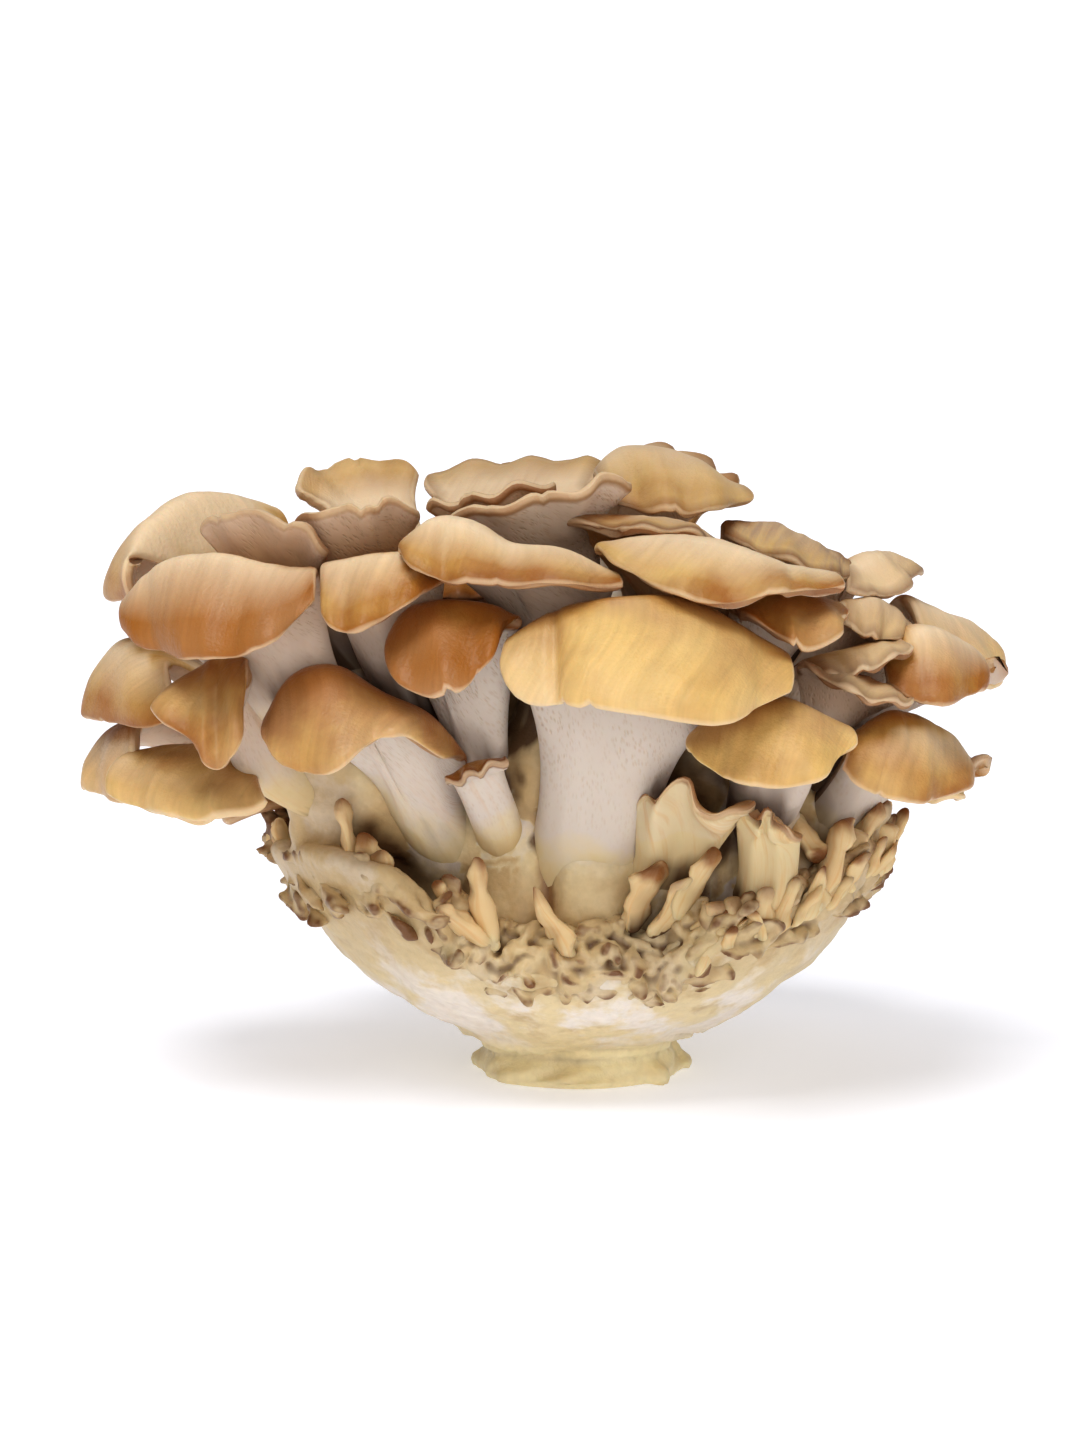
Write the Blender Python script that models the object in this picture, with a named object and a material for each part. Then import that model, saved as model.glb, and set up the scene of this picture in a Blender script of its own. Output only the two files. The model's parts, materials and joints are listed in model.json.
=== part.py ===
"""A maitake mushroom: one grown cluster, standing on the foot that it was cut at.

The base is the foot, the bowl that grew against a round vessel, and the trunk inside it.
Each frond is a stalk that widens into a cap, and stands on the trunk behind the bowl's rim.
Lengths in the tables are millimetres, and the scene is in metres, +Z up.
The origin is the middle of the foot's underside, and the front faces -Y.
"""

import math
import random
from collections import namedtuple

import bmesh
import bpy
import numpy as np
from mathutils import Vector
from mathutils.bvhtree import BVHTree

MM = 0.001

# Driving dimensions of the base, in millimetres.
FOOT_RADIUS = 20.0
FOOT_HEIGHT = 8.0
BOWL_RADIUS = 65.0
BOWL_CENTRE_Z = 70.0
TRUNK_TOP_Z = 86.0
BASE_SIDES = 40

# The front view in which the fronds of the front are placed: how far off it is taken, how far
# it looks down, and the point that it looks at.
VIEW_DISTANCE = 1000.0
VIEW_TILT = math.radians(8.0)
VIEW_AIM = Vector((-7.9, 0.0, 68.8))

# Fronds are grown together at the trunk and press on each other. As solids they keep this gap.
GAP = 0.35

# What a cut leaves within this angle of flat is one face, and edges under this length go.
FLAT = math.radians(4)
SLIVER = 0.05
SEED = 13

# A stalk is this much wider at its root than at its neck, and its section is an ellipse cut off
# at this share of its half width.
ROOT_SPREAD = 1.25
STALK_SIDE = 0.88

# Where the rows of a frond's mesh fall: a share of its rows, and the section that it has reached.
ROW_SHARES = (0, 0.35, 0.68, 1)
ROW_SECTIONS = (0, 1.1, 2.0, 3.0)

Frond = namedtuple("Frond", "name root neck crown margin stem flesh rim tuck wave cells")
Bud = namedtuple("Bud", "root tip width flatness")


def seen(across, up, depth):
    """The point at this depth that the front view shows this far across and up from the origin."""
    aim_up = VIEW_AIM.z * math.cos(VIEW_TILT)
    right, height = across - VIEW_AIM.x, up - aim_up
    cosine, sine = math.cos(VIEW_TILT), math.sin(VIEW_TILT)
    rise = (height * (1 + depth * cosine / VIEW_DISTANCE) - depth * sine) / (
        cosine + height * sine / VIEW_DISTANCE
    )
    away = depth * cosine - rise * sine
    return (VIEW_AIM.x + right * (1 + away / VIEW_DISTANCE), depth, VIEW_AIM.z + rise)


def front_frond(
    name,
    root,
    neck,
    crown,
    margin,
    stem=(14, 10),
    flesh=4.5,
    rim=2.0,
    tuck=0.45,
    wave=(0.8, 3, 0.0),
    cells=(7, 6),
):
    """A frond whose points are given as the front view shows them: across, up, depth.

    stem is the stalk's width and thickness, flesh and rim the cap's thickness in its middle and
    at its margin, and tuck how far the margin turns in under the cap. wave is the height, count
    and phase of the margin's waves, and cells the mesh's columns and rows.
    """
    crown = [seen(*point) for point in crown]
    margin = [seen(*point) for point in margin]
    return Frond(name, seen(*root), seen(*neck), crown, margin, stem, flesh, rim, tuck, wave, cells)


FRONT = [
    front_frond(
        "front_hood",
        root=(-2, 36, -20),
        neck=(1, 56, -33),
        crown=[(-15, 83, -55), (-4, 89, -58), (20, 91, -60), (41, 81, -54)],
        margin=[
            (-15, 78, -59),
            (-11, 71, -66),
            (0, 70.5, -72),
            (14, 68.3, -76),
            (28, 68.5, -74),
            (41, 76, -60),
        ],
        stem=(25, 14),
        flesh=5.5,
    ),
    front_frond(
        "front_right_hood",
        root=(28, 38, -20),
        neck=(36, 58, -32),
        crown=[(20, 65.5, -52), (28, 71, -55), (40, 72, -57), (53, 67, -51)],
        margin=[(20.5, 62, -58), (26, 57, -66), (36, 54.8, -70), (46, 56.5, -68), (53.5, 63, -58)],
        stem=(15, 11),
    ),
    front_frond(
        "right_low_hood",
        root=(34, 40, -12),
        neck=(50, 57, -18),
        crown=[(52, 65.5, -42), (61, 69.5, -40), (70, 67, -30), (76, 60, -12)],
        margin=[(50, 58, -49), (57, 53.5, -52), (67, 51.8, -48), (74, 54.5, -36), (78, 59.5, -18)],
        stem=(14, 10),
    ),
    front_frond(
        "right_hood",
        root=(32, 48, -6),
        neck=(50, 70, -10),
        crown=[(57, 82, -30), (66, 86, -30), (75, 83, -20), (79, 77, -6)],
        margin=[(59, 74, -40), (68, 71, -42), (76, 73, -32), (79.5, 78, -14)],
        stem=(12, 9),
    ),
    front_frond(
        "right_back_hood",
        root=(30, 52, 10),
        neck=(50, 74, 12),
        crown=[(64, 91, -12), (73, 88, 0), (77, 86, 16)],
        margin=[(70, 73, -22), (80, 73.5, -8), (82.2, 78, 6), (80, 80, 22)],
        stem=(12, 9),
    ),
    front_frond(
        "right_oval",
        root=(24, 60, -4),
        neck=(40, 84, -8),
        crown=[(51, 97, -22), (58, 100.5, -16), (60, 100, -4)],
        margin=[(51, 92, -28), (62, 92.5, -24), (65.5, 96, -12), (64, 97, 2)],
        stem=(10, 7),
        flesh=3.5,
    ),
    front_frond(
        "right_leaf",
        root=(26, 54, -16),
        neck=(38, 72, -27),
        crown=[(43, 80, -35), (52, 82, -36), (59, 84, -29)],
        margin=[(46, 76.5, -45), (56, 78, -46), (64.5, 82.5, -37)],
        stem=(10, 7),
        flesh=3.0,
        rim=1.5,
    ),
    front_frond(
        "right_strip",
        root=(32, 50, -16),
        neck=(45, 67, -26),
        crown=[(42, 79.5, -37), (50, 78, -41), (58, 75.5, -41), (63, 73, -36)],
        margin=[(42, 78.5, -43), (50, 74.5, -49), (58, 72, -50), (64.5, 71.5, -44)],
        stem=(8, 5),
        flesh=3.0,
        rim=1.5,
    ),
    front_frond(
        "right_ochre",
        root=(20, 56, -20),
        neck=(30, 76, -28),
        crown=[(29, 91, -45), (40, 93, -47), (51, 91, -42)],
        margin=[(31, 88, -52), (38, 84.5, -57), (43, 81.5, -59), (50, 83.5, -55), (51.5, 88, -48)],
        stem=(11, 8),
    ),
    front_frond(
        "right_lip",
        root=(16, 60, -16),
        neck=(22, 84, -26),
        crown=[(3, 102, -41), (13, 103, -46), (26, 102, -50), (38, 99, -50), (50, 96.5, -43)],
        margin=[(3, 100.5, -45), (12, 95, -58), (24, 91, -64), (38, 92.5, -62), (51, 94, -51)],
        stem=(14, 9),
    ),
    front_frond(
        "right_flat",
        root=(12, 68, -6),
        neck=(14, 94, -14),
        crown=[(-2, 107, -28), (10, 108.3, -32), (20, 107.5, -32), (27, 103, -28)],
        margin=[(-3, 106, -35), (8, 105.5, -42), (20, 105, -44), (28, 101, -39)],
        stem=(12, 7),
        flesh=3.5,
    ),
    front_frond(
        "top_right_hood",
        root=(8, 76, 8),
        neck=(8, 100, 10),
        crown=[(2, 116, -6), (9, 121.8, -4), (20, 119.5, -6), (31, 113, -6)],
        margin=[(4, 110, -24), (14, 108.5, -32), (24, 108.5, -31), (33, 109.8, -18)],
        stem=(12, 9),
    ),
    front_frond(
        "centre_cup",
        root=(-2, 68, -8),
        neck=(-4, 96, -16),
        crown=[(-20, 103, -27), (-6, 106, -28), (4, 109, -24)],
        margin=[(-29, 107, -34), (-16, 110.3, -38), (-4, 113, -38), (4, 116, -36), (11, 116.5, -31)],
        stem=(14, 9),
        tuck=0.0,
        flesh=4.0,
    ),
    front_frond(
        "centre_cup_back",
        root=(-8, 74, 0),
        neck=(-11, 100, -6),
        crown=[(-26, 107, -15), (-14, 109.5, -16), (-5, 111.5, -12)],
        margin=[(-31, 109.7, -23), (-20, 113, -27), (-5, 115.3, -25)],
        stem=(12, 7),
        tuck=0.0,
        flesh=3.5,
    ),
    front_frond(
        "top_mid",
        root=(-8, 76, 8),
        neck=(-11, 104, 6),
        crown=[(2, 114.5, 14), (-14, 113.5, 15), (-29, 112, 13)],
        margin=[(5, 118, 28), (-12, 118.6, 32), (-30, 117, 27)],
        stem=(12, 8),
        tuck=0.0,
        flesh=3.5,
    ),
    front_frond(
        "top_left_cap",
        root=(-18, 74, 6),
        neck=(-34, 101, -2),
        crown=[(-32, 111, 9), (-42, 110.5, 9), (-49, 110, 2)],
        margin=[(-31, 117, 18), (-42, 119, 23), (-52, 118, 15), (-55, 113.5, 2)],
        stem=(12, 8),
        tuck=0.0,
        flesh=3.5,
    ),
    front_frond(
        "left_cup",
        root=(-20, 68, -12),
        neck=(-36, 94, -22),
        crown=[(-48, 101, -29), (-40, 103, -31), (-33, 104, -28)],
        margin=[(-56, 108, -33), (-48, 110, -39), (-39, 111.5, -41), (-31, 111, -35)],
        stem=(13, 8),
        tuck=0.0,
        flesh=4.0,
    ),
    front_frond(
        "left_inner",
        root=(-28, 64, -14),
        neck=(-50, 88, -25),
        crown=[(-66, 98, -27), (-58, 99, -31), (-50, 96, -31)],
        margin=[(-75, 107, -29), (-66, 109, -35), (-55, 106.5, -41), (-48, 101.5, -41)],
        stem=(12, 7),
        tuck=0.0,
        flesh=3.0,
    ),
    front_frond(
        "left_back_hood",
        root=(-30, 62, 4),
        neck=(-54, 90, 0),
        crown=[(-60, 109, 14), (-73, 112.5, 0), (-83, 107, -14), (-87, 100, -25)],
        margin=[(-76, 98, 26), (-88, 94, 12), (-91.5, 92, -6), (-86, 90, -27)],
        stem=(14, 9),
    ),
    front_frond(
        "left_hood",
        root=(-28, 52, -18),
        neck=(-55, 77, -31),
        crown=[(-88, 91.5, -31), (-82, 98.5, -37), (-70, 99.8, -42), (-60, 98, -44), (-51, 98.5, -43)],
        margin=[(-87.5, 84, -39), (-80, 80.5, -50), (-71, 79.7, -60), (-60, 83, -62), (-51, 90.5, -55)],
        stem=(17, 11),
    ),
    front_frond(
        "left_hood_lobe",
        root=(-22, 54, -18),
        neck=(-35, 82, -31),
        crown=[(-50.5, 98.5, -43), (-43, 99.5, -46), (-33, 100.3, -46), (-26, 97.5, -41)],
        margin=[(-50, 86.5, -57), (-44, 85, -61), (-35, 89, -59), (-25, 95, -49)],
        stem=(13, 10),
    ),
    front_frond(
        "centre_lip",
        root=(-6, 52, -24),
        neck=(-4, 84, -33),
        crown=[
            (-35, 102.5, -46),
            (-29, 107, -48),
            (-21, 105.5, -48),
            (-13, 102, -50),
            (-3, 101, -52),
            (8, 96.5, -49),
        ],
        margin=[
            (-34.5, 100, -52),
            (-30, 96, -58),
            (-22, 94.5, -61),
            (-12, 94.8, -62),
            (-2, 94.5, -62),
            (8.5, 94, -56),
        ],
        stem=(15, 9),
    ),
    front_frond(
        "centre_left_curl",
        root=(-16, 42, -20),
        neck=(-20, 64, -33),
        crown=[(-38, 84, -46), (-34, 89, -48), (-26, 91, -50), (-17, 90.7, -50), (-11.5, 88, -45)],
        margin=[
            (-37.5, 78, -53),
            (-33, 73, -60),
            (-26, 72.5, -63),
            (-20, 76, -62),
            (-16, 82, -57),
            (-12, 87, -49),
        ],
        stem=(11, 9),
    ),
    front_frond(
        "centre_left_inner",
        root=(-14, 66, -6),
        neck=(-20, 86, -12),
        crown=[(-31, 96, -23), (-22, 98, -25), (-13, 96, -23)],
        margin=[(-32, 92, -31), (-22, 91.5, -35), (-12, 91.5, -31)],
        stem=(9, 6),
        flesh=3.0,
        rim=1.6,
        cells=(5, 4),
    ),
    front_frond(
        "left_front_cap",
        root=(-20, 38, -16),
        neck=(-32, 54, -30),
        crown=[
            (-61.5, 68, -45),
            (-56, 75.5, -47),
            (-48, 77, -49),
            (-39, 74, -50),
            (-29, 69, -48),
            (-22, 61.5, -44),
        ],
        margin=[
            (-61, 63.5, -52),
            (-55, 58, -60),
            (-47, 58.5, -64),
            (-40, 64, -62),
            (-34, 65, -58),
            (-26, 60, -50),
        ],
        stem=(21, 12),
    ),
    front_frond(
        "left_mid_cap",
        root=(-34, 48, -2),
        neck=(-60, 71, -4),
        crown=[(-80, 82, 14), (-89, 82.5, 0), (-88, 82, -14), (-80, 79, -26)],
        margin=[(-90, 72, 24), (-97, 70, 5), (-94, 67.5, -14), (-84, 66.5, -30), (-77, 68, -36)],
        stem=(14, 9),
    ),
    front_frond(
        "left_front_lobe",
        root=(-32, 48, -18),
        neck=(-60, 61, -27),
        crown=[(-75, 77.5, -37), (-70, 80, -39), (-64, 80, -38)],
        margin=[(-84, 69.5, -44), (-76, 64, -51), (-70.5, 58.5, -55), (-66, 64, -54), (-64, 74, -47)],
        stem=(12, 8),
    ),
    front_frond(
        "left_low_cap",
        root=(-34, 50, -2),
        neck=(-60, 62, -4),
        crown=[(-86, 66, 14), (-92, 66, -2), (-87, 66.5, -17)],
        margin=[(-90, 58, 18), (-95.5, 56, 0), (-91.5, 52, -16), (-84, 51, -29)],
        stem=(13, 8),
    ),
    front_frond(
        "left_low_rim",
        root=(-32, 50, -14),
        neck=(-57, 61, -17),
        crown=[(-88, 62, -19), (-80, 63.5, -21), (-70, 62.5, -24), (-62, 60, -27)],
        margin=[(-91, 53, -29), (-82, 50, -39), (-72, 49, -45), (-60, 52.5, -43)],
        stem=(11, 6),
    ),
    front_frond(
        "right_wrinkled",
        root=(18, 66, 0),
        neck=(30, 90, -6),
        crown=[(27, 106.5, -14), (38, 106, -14), (48, 101, -10)],
        margin=[(27, 103, -24), (38, 99.5, -32), (47, 96.5, -32), (54, 95, -22)],
        stem=(11, 7),
        flesh=3.5,
    ),
    front_frond(
        "right_curled",
        root=(24, 58, -8),
        neck=(42, 77, -15),
        crown=[(50, 91, -28), (58, 91.5, -26), (63, 88, -18)],
        margin=[(51, 86, -36), (58, 83.5, -36), (64.5, 84, -27)],
        stem=(10, 7),
        flesh=3.0,
        rim=1.5,
    ),
    front_frond(
        "low_right_folded",
        root=(10, 32, -26),
        neck=(18, 44, -37),
        crown=[(11, 52, -42), (18, 52.5, -45), (25, 51.5, -45), (33, 53, -42)],
        margin=[(11, 54, -45), (17, 56, -49), (25, 52, -50), (34, 52.5, -46)],
        stem=(15, 7),
        flesh=3.5,
        rim=1.8,
        cells=(6, 4),
    ),
    front_frond(
        "low_right_stout",
        root=(32, 27, -30),
        neck=(36, 38, -37),
        crown=[(30, 48, -42), (36, 50, -44), (43, 46, -43)],
        margin=[(30, 50, -45), (37, 51, -48), (44, 45, -47)],
        stem=(11, 8),
        flesh=3.5,
        rim=1.8,
        cells=(5, 4),
    ),
    front_frond(
        "front_small_curl",
        root=(-14, 38, -22),
        neck=(-17, 50, -36),
        crown=[(-26, 57, -47), (-21, 60, -49), (-15, 61, -46)],
        margin=[(-27, 56, -51), (-21, 57.5, -54), (-14, 62, -50)],
        stem=(9, 6),
        flesh=3.0,
        rim=1.6,
        cells=(5, 4),
    ),
]


def smooth_between(low, high, x):
    """0 below low, 1 above high, and a smooth rise between them."""
    f = np.clip((x - low) / (high - low), 0.0, 1.0)
    return f * f * (3.0 - 2.0 * f)


def hermite(start, end, leaving, arriving, f):
    """The point a share f of the way along the cubic with these ends and end tangents."""
    return (
        (2 * f**3 - 3 * f**2 + 1) * start
        + (f**3 - 2 * f**2 + f) * leaving
        + (3 * f**2 - 2 * f**3) * end
        + (f**3 - f**2) * arriving
    )


def curve_through(points, at):
    """Points of a smooth curve through these, at shares of its points from 0 to 1."""
    points = np.array(points, float)
    tangents = np.gradient(points, axis=0)
    x = at * (len(points) - 1)
    i = np.clip(np.floor(x).astype(int), 0, len(points) - 2)
    f = (x - i)[:, None]
    return hermite(points[i], points[i + 1], tangents[i], tangents[i + 1], f)


def frond_sheet(frond, across, along):
    """The top surface of a frond, as an array of rows from root to margin.

    across runs from 0 to 1 over the width. along counts the four sections that the surface
    passes through: 0 is the root, 1 the neck, 2 the crown and 3 the margin.
    """
    crown = curve_through(frond.crown, across)
    margin = curve_through(frond.margin, across)
    side = crown[-1] - crown[0]
    side = side / np.linalg.norm(side)
    offset = (across - 0.5)[:, None] * frond.stem[0] * side
    neck = np.array(frond.neck) + offset
    root = np.array(frond.root) + ROOT_SPREAD * offset
    rows = np.stack([root, neck, crown, margin])
    steps = np.linalg.norm(np.diff(rows, axis=0), axis=2).mean(axis=1)
    slopes = np.diff(rows, axis=0) / steps[:, None, None]
    tangents = np.empty_like(rows)
    tangents[0] = slopes[0]
    for i in (1, 2):
        share = steps[i - 1] / (steps[i - 1] + steps[i])
        tangents[i] = slopes[i - 1] * (1 - share) + slopes[i] * share
    inward = neck - margin
    inward = inward / np.linalg.norm(inward, axis=1)[:, None]
    tangents[3] = slopes[2] * (1 - frond.tuck) + inward * frond.tuck
    sheet = np.empty((len(along), len(across), 3))
    for n, x in enumerate(along):
        i = min(int(x), 2)
        sheet[n] = hermite(
            rows[i], rows[i + 1], tangents[i] * steps[i], tangents[i + 1] * steps[i], x - i
        )
    return sheet


def sheet_normals(sheet):
    """Unit normals of a sheet, pointing out of its top side."""
    normals = np.cross(np.gradient(sheet, axis=0), np.gradient(sheet, axis=1))
    return normals / np.maximum(np.linalg.norm(normals, axis=2), 1e-9)[..., None]


def thickness(frond, across, along):
    """The flesh under each point of the sheet: a round stalk that thins into the cap."""
    c = np.abs(2 * across - 1)[None, :]
    x = along[:, None]
    stalk = frond.stem[1] * np.sqrt(1 - (STALK_SIDE * c) ** 2)
    cap = frond.rim + (frond.flesh - frond.rim) * (1 - c**4) * (1 - smooth_between(2.0, 3.1, x))
    return stalk + (cap - stalk) * smooth_between(0.7, 1.8, x)


def frond_surfaces(frond, across, along):
    """The top and the underside of a frond, waved towards the margin."""
    sheet = frond_sheet(frond, across, along)
    height, count, phase = frond.wave
    swing = height * np.sin(2 * math.pi * (count * across + phase))[None, :]
    swing = swing * smooth_between(1.8, 3.0, along)[:, None]
    top = sheet + sheet_normals(sheet) * swing[..., None]
    under = top - sheet_normals(top) * thickness(frond, across, along)[..., None]
    return top, under


# The back has no photograph. Its fronds stand in tiers as those of the front do:
# count, first and last angle in degrees, height of the crown, reach, width, droop of the margin.
BACK_TIERS = [
    ("low", 6, 14, 162, 61, 78, 33, 9),
    ("middle", 5, 28, 150, 83, 74, 35, 10),
    ("upper", 4, 30, 146, 99, 58, 31, 7),
    ("top", 2, 52, 104, 115, 44, 27, 2),
]


def back_frond(name, degrees, height, reach, width, droop, draw):
    """A frond that leans out at this angle round the cluster, from the right by the back."""
    angle = math.radians(degrees)
    out = np.array([math.cos(angle), math.sin(angle), 0.0])
    side = np.array([-math.sin(angle), math.cos(angle), 0.0])
    up = np.array([0.0, 0.0, 1.0])
    lean = draw.uniform(-6, 6)
    reach += draw.uniform(-5, 3)
    height += draw.uniform(-3, 3)
    width *= draw.uniform(0.8, 1.15)
    crown = []
    margin = []
    for share in (-1, -0.4, 0.4, 1):
        bulge = 1 - draw.uniform(0.1, 0.2) * share**2
        swell = draw.uniform(-2, 2)
        across = share * width / 2 * side
        ridge = height + lean * share + swell - 4 * share**2
        hem = height - droop + lean * share - swell
        crown.append(out * (reach - 13) * bulge + across * 0.9 + up * ridge)
        margin.append(out * reach * bulge + across + up * hem)
    root = out * 18 + up * (0.35 * height + 24)
    neck = out * 0.5 * reach + up * (0.7 * height + 11)
    stem = (draw.uniform(9, 12), draw.uniform(6, 8))
    wave = (1.2, draw.choice((2, 3)), draw.random())
    return Frond(name, root, neck, crown, margin, stem, 4.0, 2.0, 0.4, wave, (6, 5))


def back_fronds():
    draw = random.Random(SEED)
    fronds = []
    for tier, count, first, last, height, reach, width, droop in BACK_TIERS:
        for i in range(count):
            degrees = first + (last - first) * i / max(count - 1, 1) + draw.uniform(-4, 4)
            name = "back_" + tier + "_" + str(i + 1)
            fronds.append(back_frond(name, degrees, height, reach, width, droop, draw))
    return fronds


def material(name, colour, roughness):
    made = bpy.data.materials.new(name)
    made.use_nodes = True
    shader = made.node_tree.nodes["Principled BSDF"]
    shader.inputs["Base Color"].default_value = (*colour, 1.0)
    shader.inputs["Roughness"].default_value = roughness
    return made


def new_object(name, mesh, material):
    mesh.materials.append(material)
    obj = bpy.data.objects.new(name, mesh)
    bpy.context.scene.collection.objects.link(obj)
    return obj


def mesh_of(bm, name):
    """The mesh of these faces, in triangles and shaded smooth. The faces are let go."""
    bmesh.ops.triangulate(bm, faces=bm.faces[:])
    mesh = bpy.data.meshes.new(name)
    bm.to_mesh(mesh)
    bm.free()
    mesh.shade_smooth()
    return mesh


def slab_mesh(name, top, under):
    """A closed slab: one grid bent to the top, its twin to the underside, and a wall between."""
    rows, columns = top.shape[0] - 1, top.shape[1] - 1
    bm = bmesh.new()
    bmesh.ops.create_grid(bm, x_segments=columns, y_segments=rows, size=1.0)
    bmesh.ops.triangulate(bm, faces=bm.faces[:])
    twins = bmesh.ops.duplicate(bm, geom=bm.verts[:] + bm.edges[:] + bm.faces[:])["vert_map"]
    upper = [vert for vert in bm.verts if vert in twins]
    upper = upper[: len(bm.verts) // 2]
    for vert in upper:
        column = round((vert.co.x + 1) / 2 * columns)
        row = round((vert.co.y + 1) / 2 * rows)
        twins[vert].co = Vector(under[row, column]) * MM
        vert.co = Vector(top[row, column]) * MM
    bmesh.ops.bridge_loops(bm, edges=[edge for edge in bm.edges if edge.is_boundary])
    bmesh.ops.recalc_face_normals(bm, faces=bm.faces[:])
    return mesh_of(bm, name)


def build_frond(frond, skin):
    columns, rows = frond.cells
    across = np.linspace(0, 1, columns + 1)
    along = np.interp(np.linspace(0, 1, rows + 1), ROW_SHARES, ROW_SECTIONS)
    top, under = frond_surfaces(frond, across, along)
    return new_object("frond_" + frond.name, slab_mesh(frond.name, top, under), skin)


def bowl_radius(z):
    """The bowl's outer radius at this height."""
    return math.sqrt(max(BOWL_RADIUS**2 - (z - BOWL_CENTRE_Z) ** 2, 0.0))


# Height of the bowl's rim at these angles round the base, in degrees from the right by the back.
RIM_ANGLES = (0, 30, 60, 90, 120, 150, 180, 205, 223, 232, 240, 249, 270, 290, 301, 316, 335, 360)
RIM_HEIGHTS = (44, 41, 44, 37, 42, 45, 45, 46, 50, 46, 36, 28, 26, 27, 34, 40, 44, 44)


def rim_height(degrees):
    """Height of the rim at this angle, with two rows of crinkles in it."""
    coarse = 1.1 * math.sin(math.radians(11 * degrees))
    fine = 0.7 * math.sin(math.radians(17 * degrees + 60))
    return float(np.interp(degrees % 360, RIM_ANGLES, RIM_HEIGHTS)) + coarse + fine


# The trunk: height, radius, and how far it swells towards the front, where the stalks join it.
TRUNK = [
    (48.0, 33.0, 7.0),
    (58.0, 28.0, 7.0),
    (70.0, 24.0, 4.0),
    (80.0, 17.0, 1.0),
    (TRUNK_TOP_Z - 1, 8.0, 0.0),
]
TRUNK_FRONT = math.radians(258)


def base_profile(angle):
    """Radius and height of each ring of the base at this angle, from the foot's middle up."""
    rim = rim_height(math.degrees(angle))
    lip = 1.2 * math.sin(3 * angle + 0.6) + 0.6 * math.sin(7 * angle)
    swell = max(0.0, math.cos(angle - TRUNK_FRONT))
    rings = [
        (0.5 * FOOT_RADIUS, 0.0),
        (FOOT_RADIUS - 1.5, 0.0),
        (FOOT_RADIUS + 1.0 + lip, 1.4),
        (FOOT_RADIUS - 0.8 + 0.4 * lip, 3.4),
        (FOOT_RADIUS - 0.8, 6.0),
        (FOOT_RADIUS + 0.4, FOOT_HEIGHT - 0.4),
        (bowl_radius(FOOT_HEIGHT + 0.5) - 0.3, FOOT_HEIGHT + 0.4),
    ]
    for share in (0.15, 0.38, 0.6, 0.8, 1.0):
        z = FOOT_HEIGHT + 1 + share * (rim - FOOT_HEIGHT - 1)
        rings.append((bowl_radius(z), z))
    edge = bowl_radius(rim)
    groove = 0.74 * rim
    foot_of_trunk = min(34.0 + 8.0 * swell, edge - 10.0)
    rings += [
        (edge - 2.2, rim + 1.4),
        (edge - 5.0, rim - 0.2),
        (0.5 * (edge - 5.0 + foot_of_trunk), groove),
        (foot_of_trunk, groove + 3.5),
    ]
    rings += [(radius + bulge * swell, z) for z, radius, bulge in TRUNK]
    return rings


def base_body():
    """The foot, bowl and trunk: the rings of a ball moved out to the profile at each angle."""
    rings = len(base_profile(0.0))
    bm = bmesh.new()
    bmesh.ops.create_uvsphere(bm, u_segments=BASE_SIDES, v_segments=rings + 1, radius=1.0)
    for vert in bm.verts:
        angle = math.atan2(vert.co.y, vert.co.x)
        ring = round(math.acos(max(-1.0, min(1.0, -vert.co.z))) / math.pi * (rings + 1))
        if ring == 0:
            radius, z = 0.0, 0.0
        elif ring == rings + 1:
            radius, z = 0.0, TRUNK_TOP_Z
        else:
            radius, z = base_profile(angle)[ring - 1]
        vert.co = Vector((radius * math.cos(angle), radius * math.sin(angle), z)) * MM
    bmesh.ops.recalc_face_normals(bm, faces=bm.faces[:])
    return mesh_of(bm, "base")


# Buds that stopped growing, each from its root to its tip, as the front view shows them.
FRONT_BUDS = [
    Bud(seen(-18, 14, -44), seen(-20.5, 43, -46), 6.0, 0.9),
    Bud(seen(-20, 14, -44), seen(-30, 33, -49), 10.0, 0.6),
    Bud(seen(-2, 12, -44), seen(-9, 35, -49), 10.0, 0.7),
    Bud(seen(-43, 33, -38), seen(-48, 54, -38), 7.0, 0.7),
    Bud(seen(-40, 33, -38), seen(-43, 50, -42), 6.0, 0.7),
    Bud(seen(12, 15, -43), seen(13, 35, -48), 9.0, 0.6),
    Bud(seen(17, 17, -42), seen(19, 40, -48), 9.0, 0.6),
    Bud(seen(21, 20, -41), seen(26, 40, -47), 9.0, 0.6),
    Bud(seen(46, 36, -32), seen(53, 50, -32), 8.0, 0.7),
    Bud(seen(50, 38, -24), seen(58, 51, -22), 7.0, 0.7),
]


# Rows of buds on the rim: how many, from and to which angle, and how far in from the edge.
BUD_ROWS = [(38, 0, 360, 2.5), (18, 0, 360, 7.0), (16, 232, 306, 4.5)]


def rim_buds():
    """Crinkles and finger-like buds in rows along the rim, longest at the right and the back."""
    draw = random.Random(SEED + 1)
    buds = []
    for count, first, last, inset in BUD_ROWS:
        for i in range(count):
            degrees = first + (last - first) * (i + draw.uniform(-0.3, 0.3)) / count
            angle = math.radians(degrees)
            rim = rim_height(degrees)
            front = smooth_between(225, 245, degrees) - smooth_between(285, 305, degrees)
            length = draw.uniform(8, 13) * (1 - 0.4 * front)
            out = Vector((math.cos(angle), math.sin(angle), 0))
            side = Vector((-math.sin(angle), math.cos(angle), 0))
            root = out * (bowl_radius(rim) - inset) + Vector((0, 0, rim - 3.5))
            lean = out * draw.uniform(0.15, 0.5) * (1 - 0.7 * front) + side * draw.uniform(-0.6, 0.6)
            tip = root + (Vector((0, 0, 1)) + lean).normalized() * length
            reach = math.hypot(tip.x, tip.y)
            tip.xy *= min(1.0, (bowl_radius(min(tip.z, BOWL_CENTRE_Z)) + 1.0) / reach)
            buds.append(Bud(root, tip, draw.uniform(5.0, 8.0), draw.uniform(0.5, 0.8)))
    return buds


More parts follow.
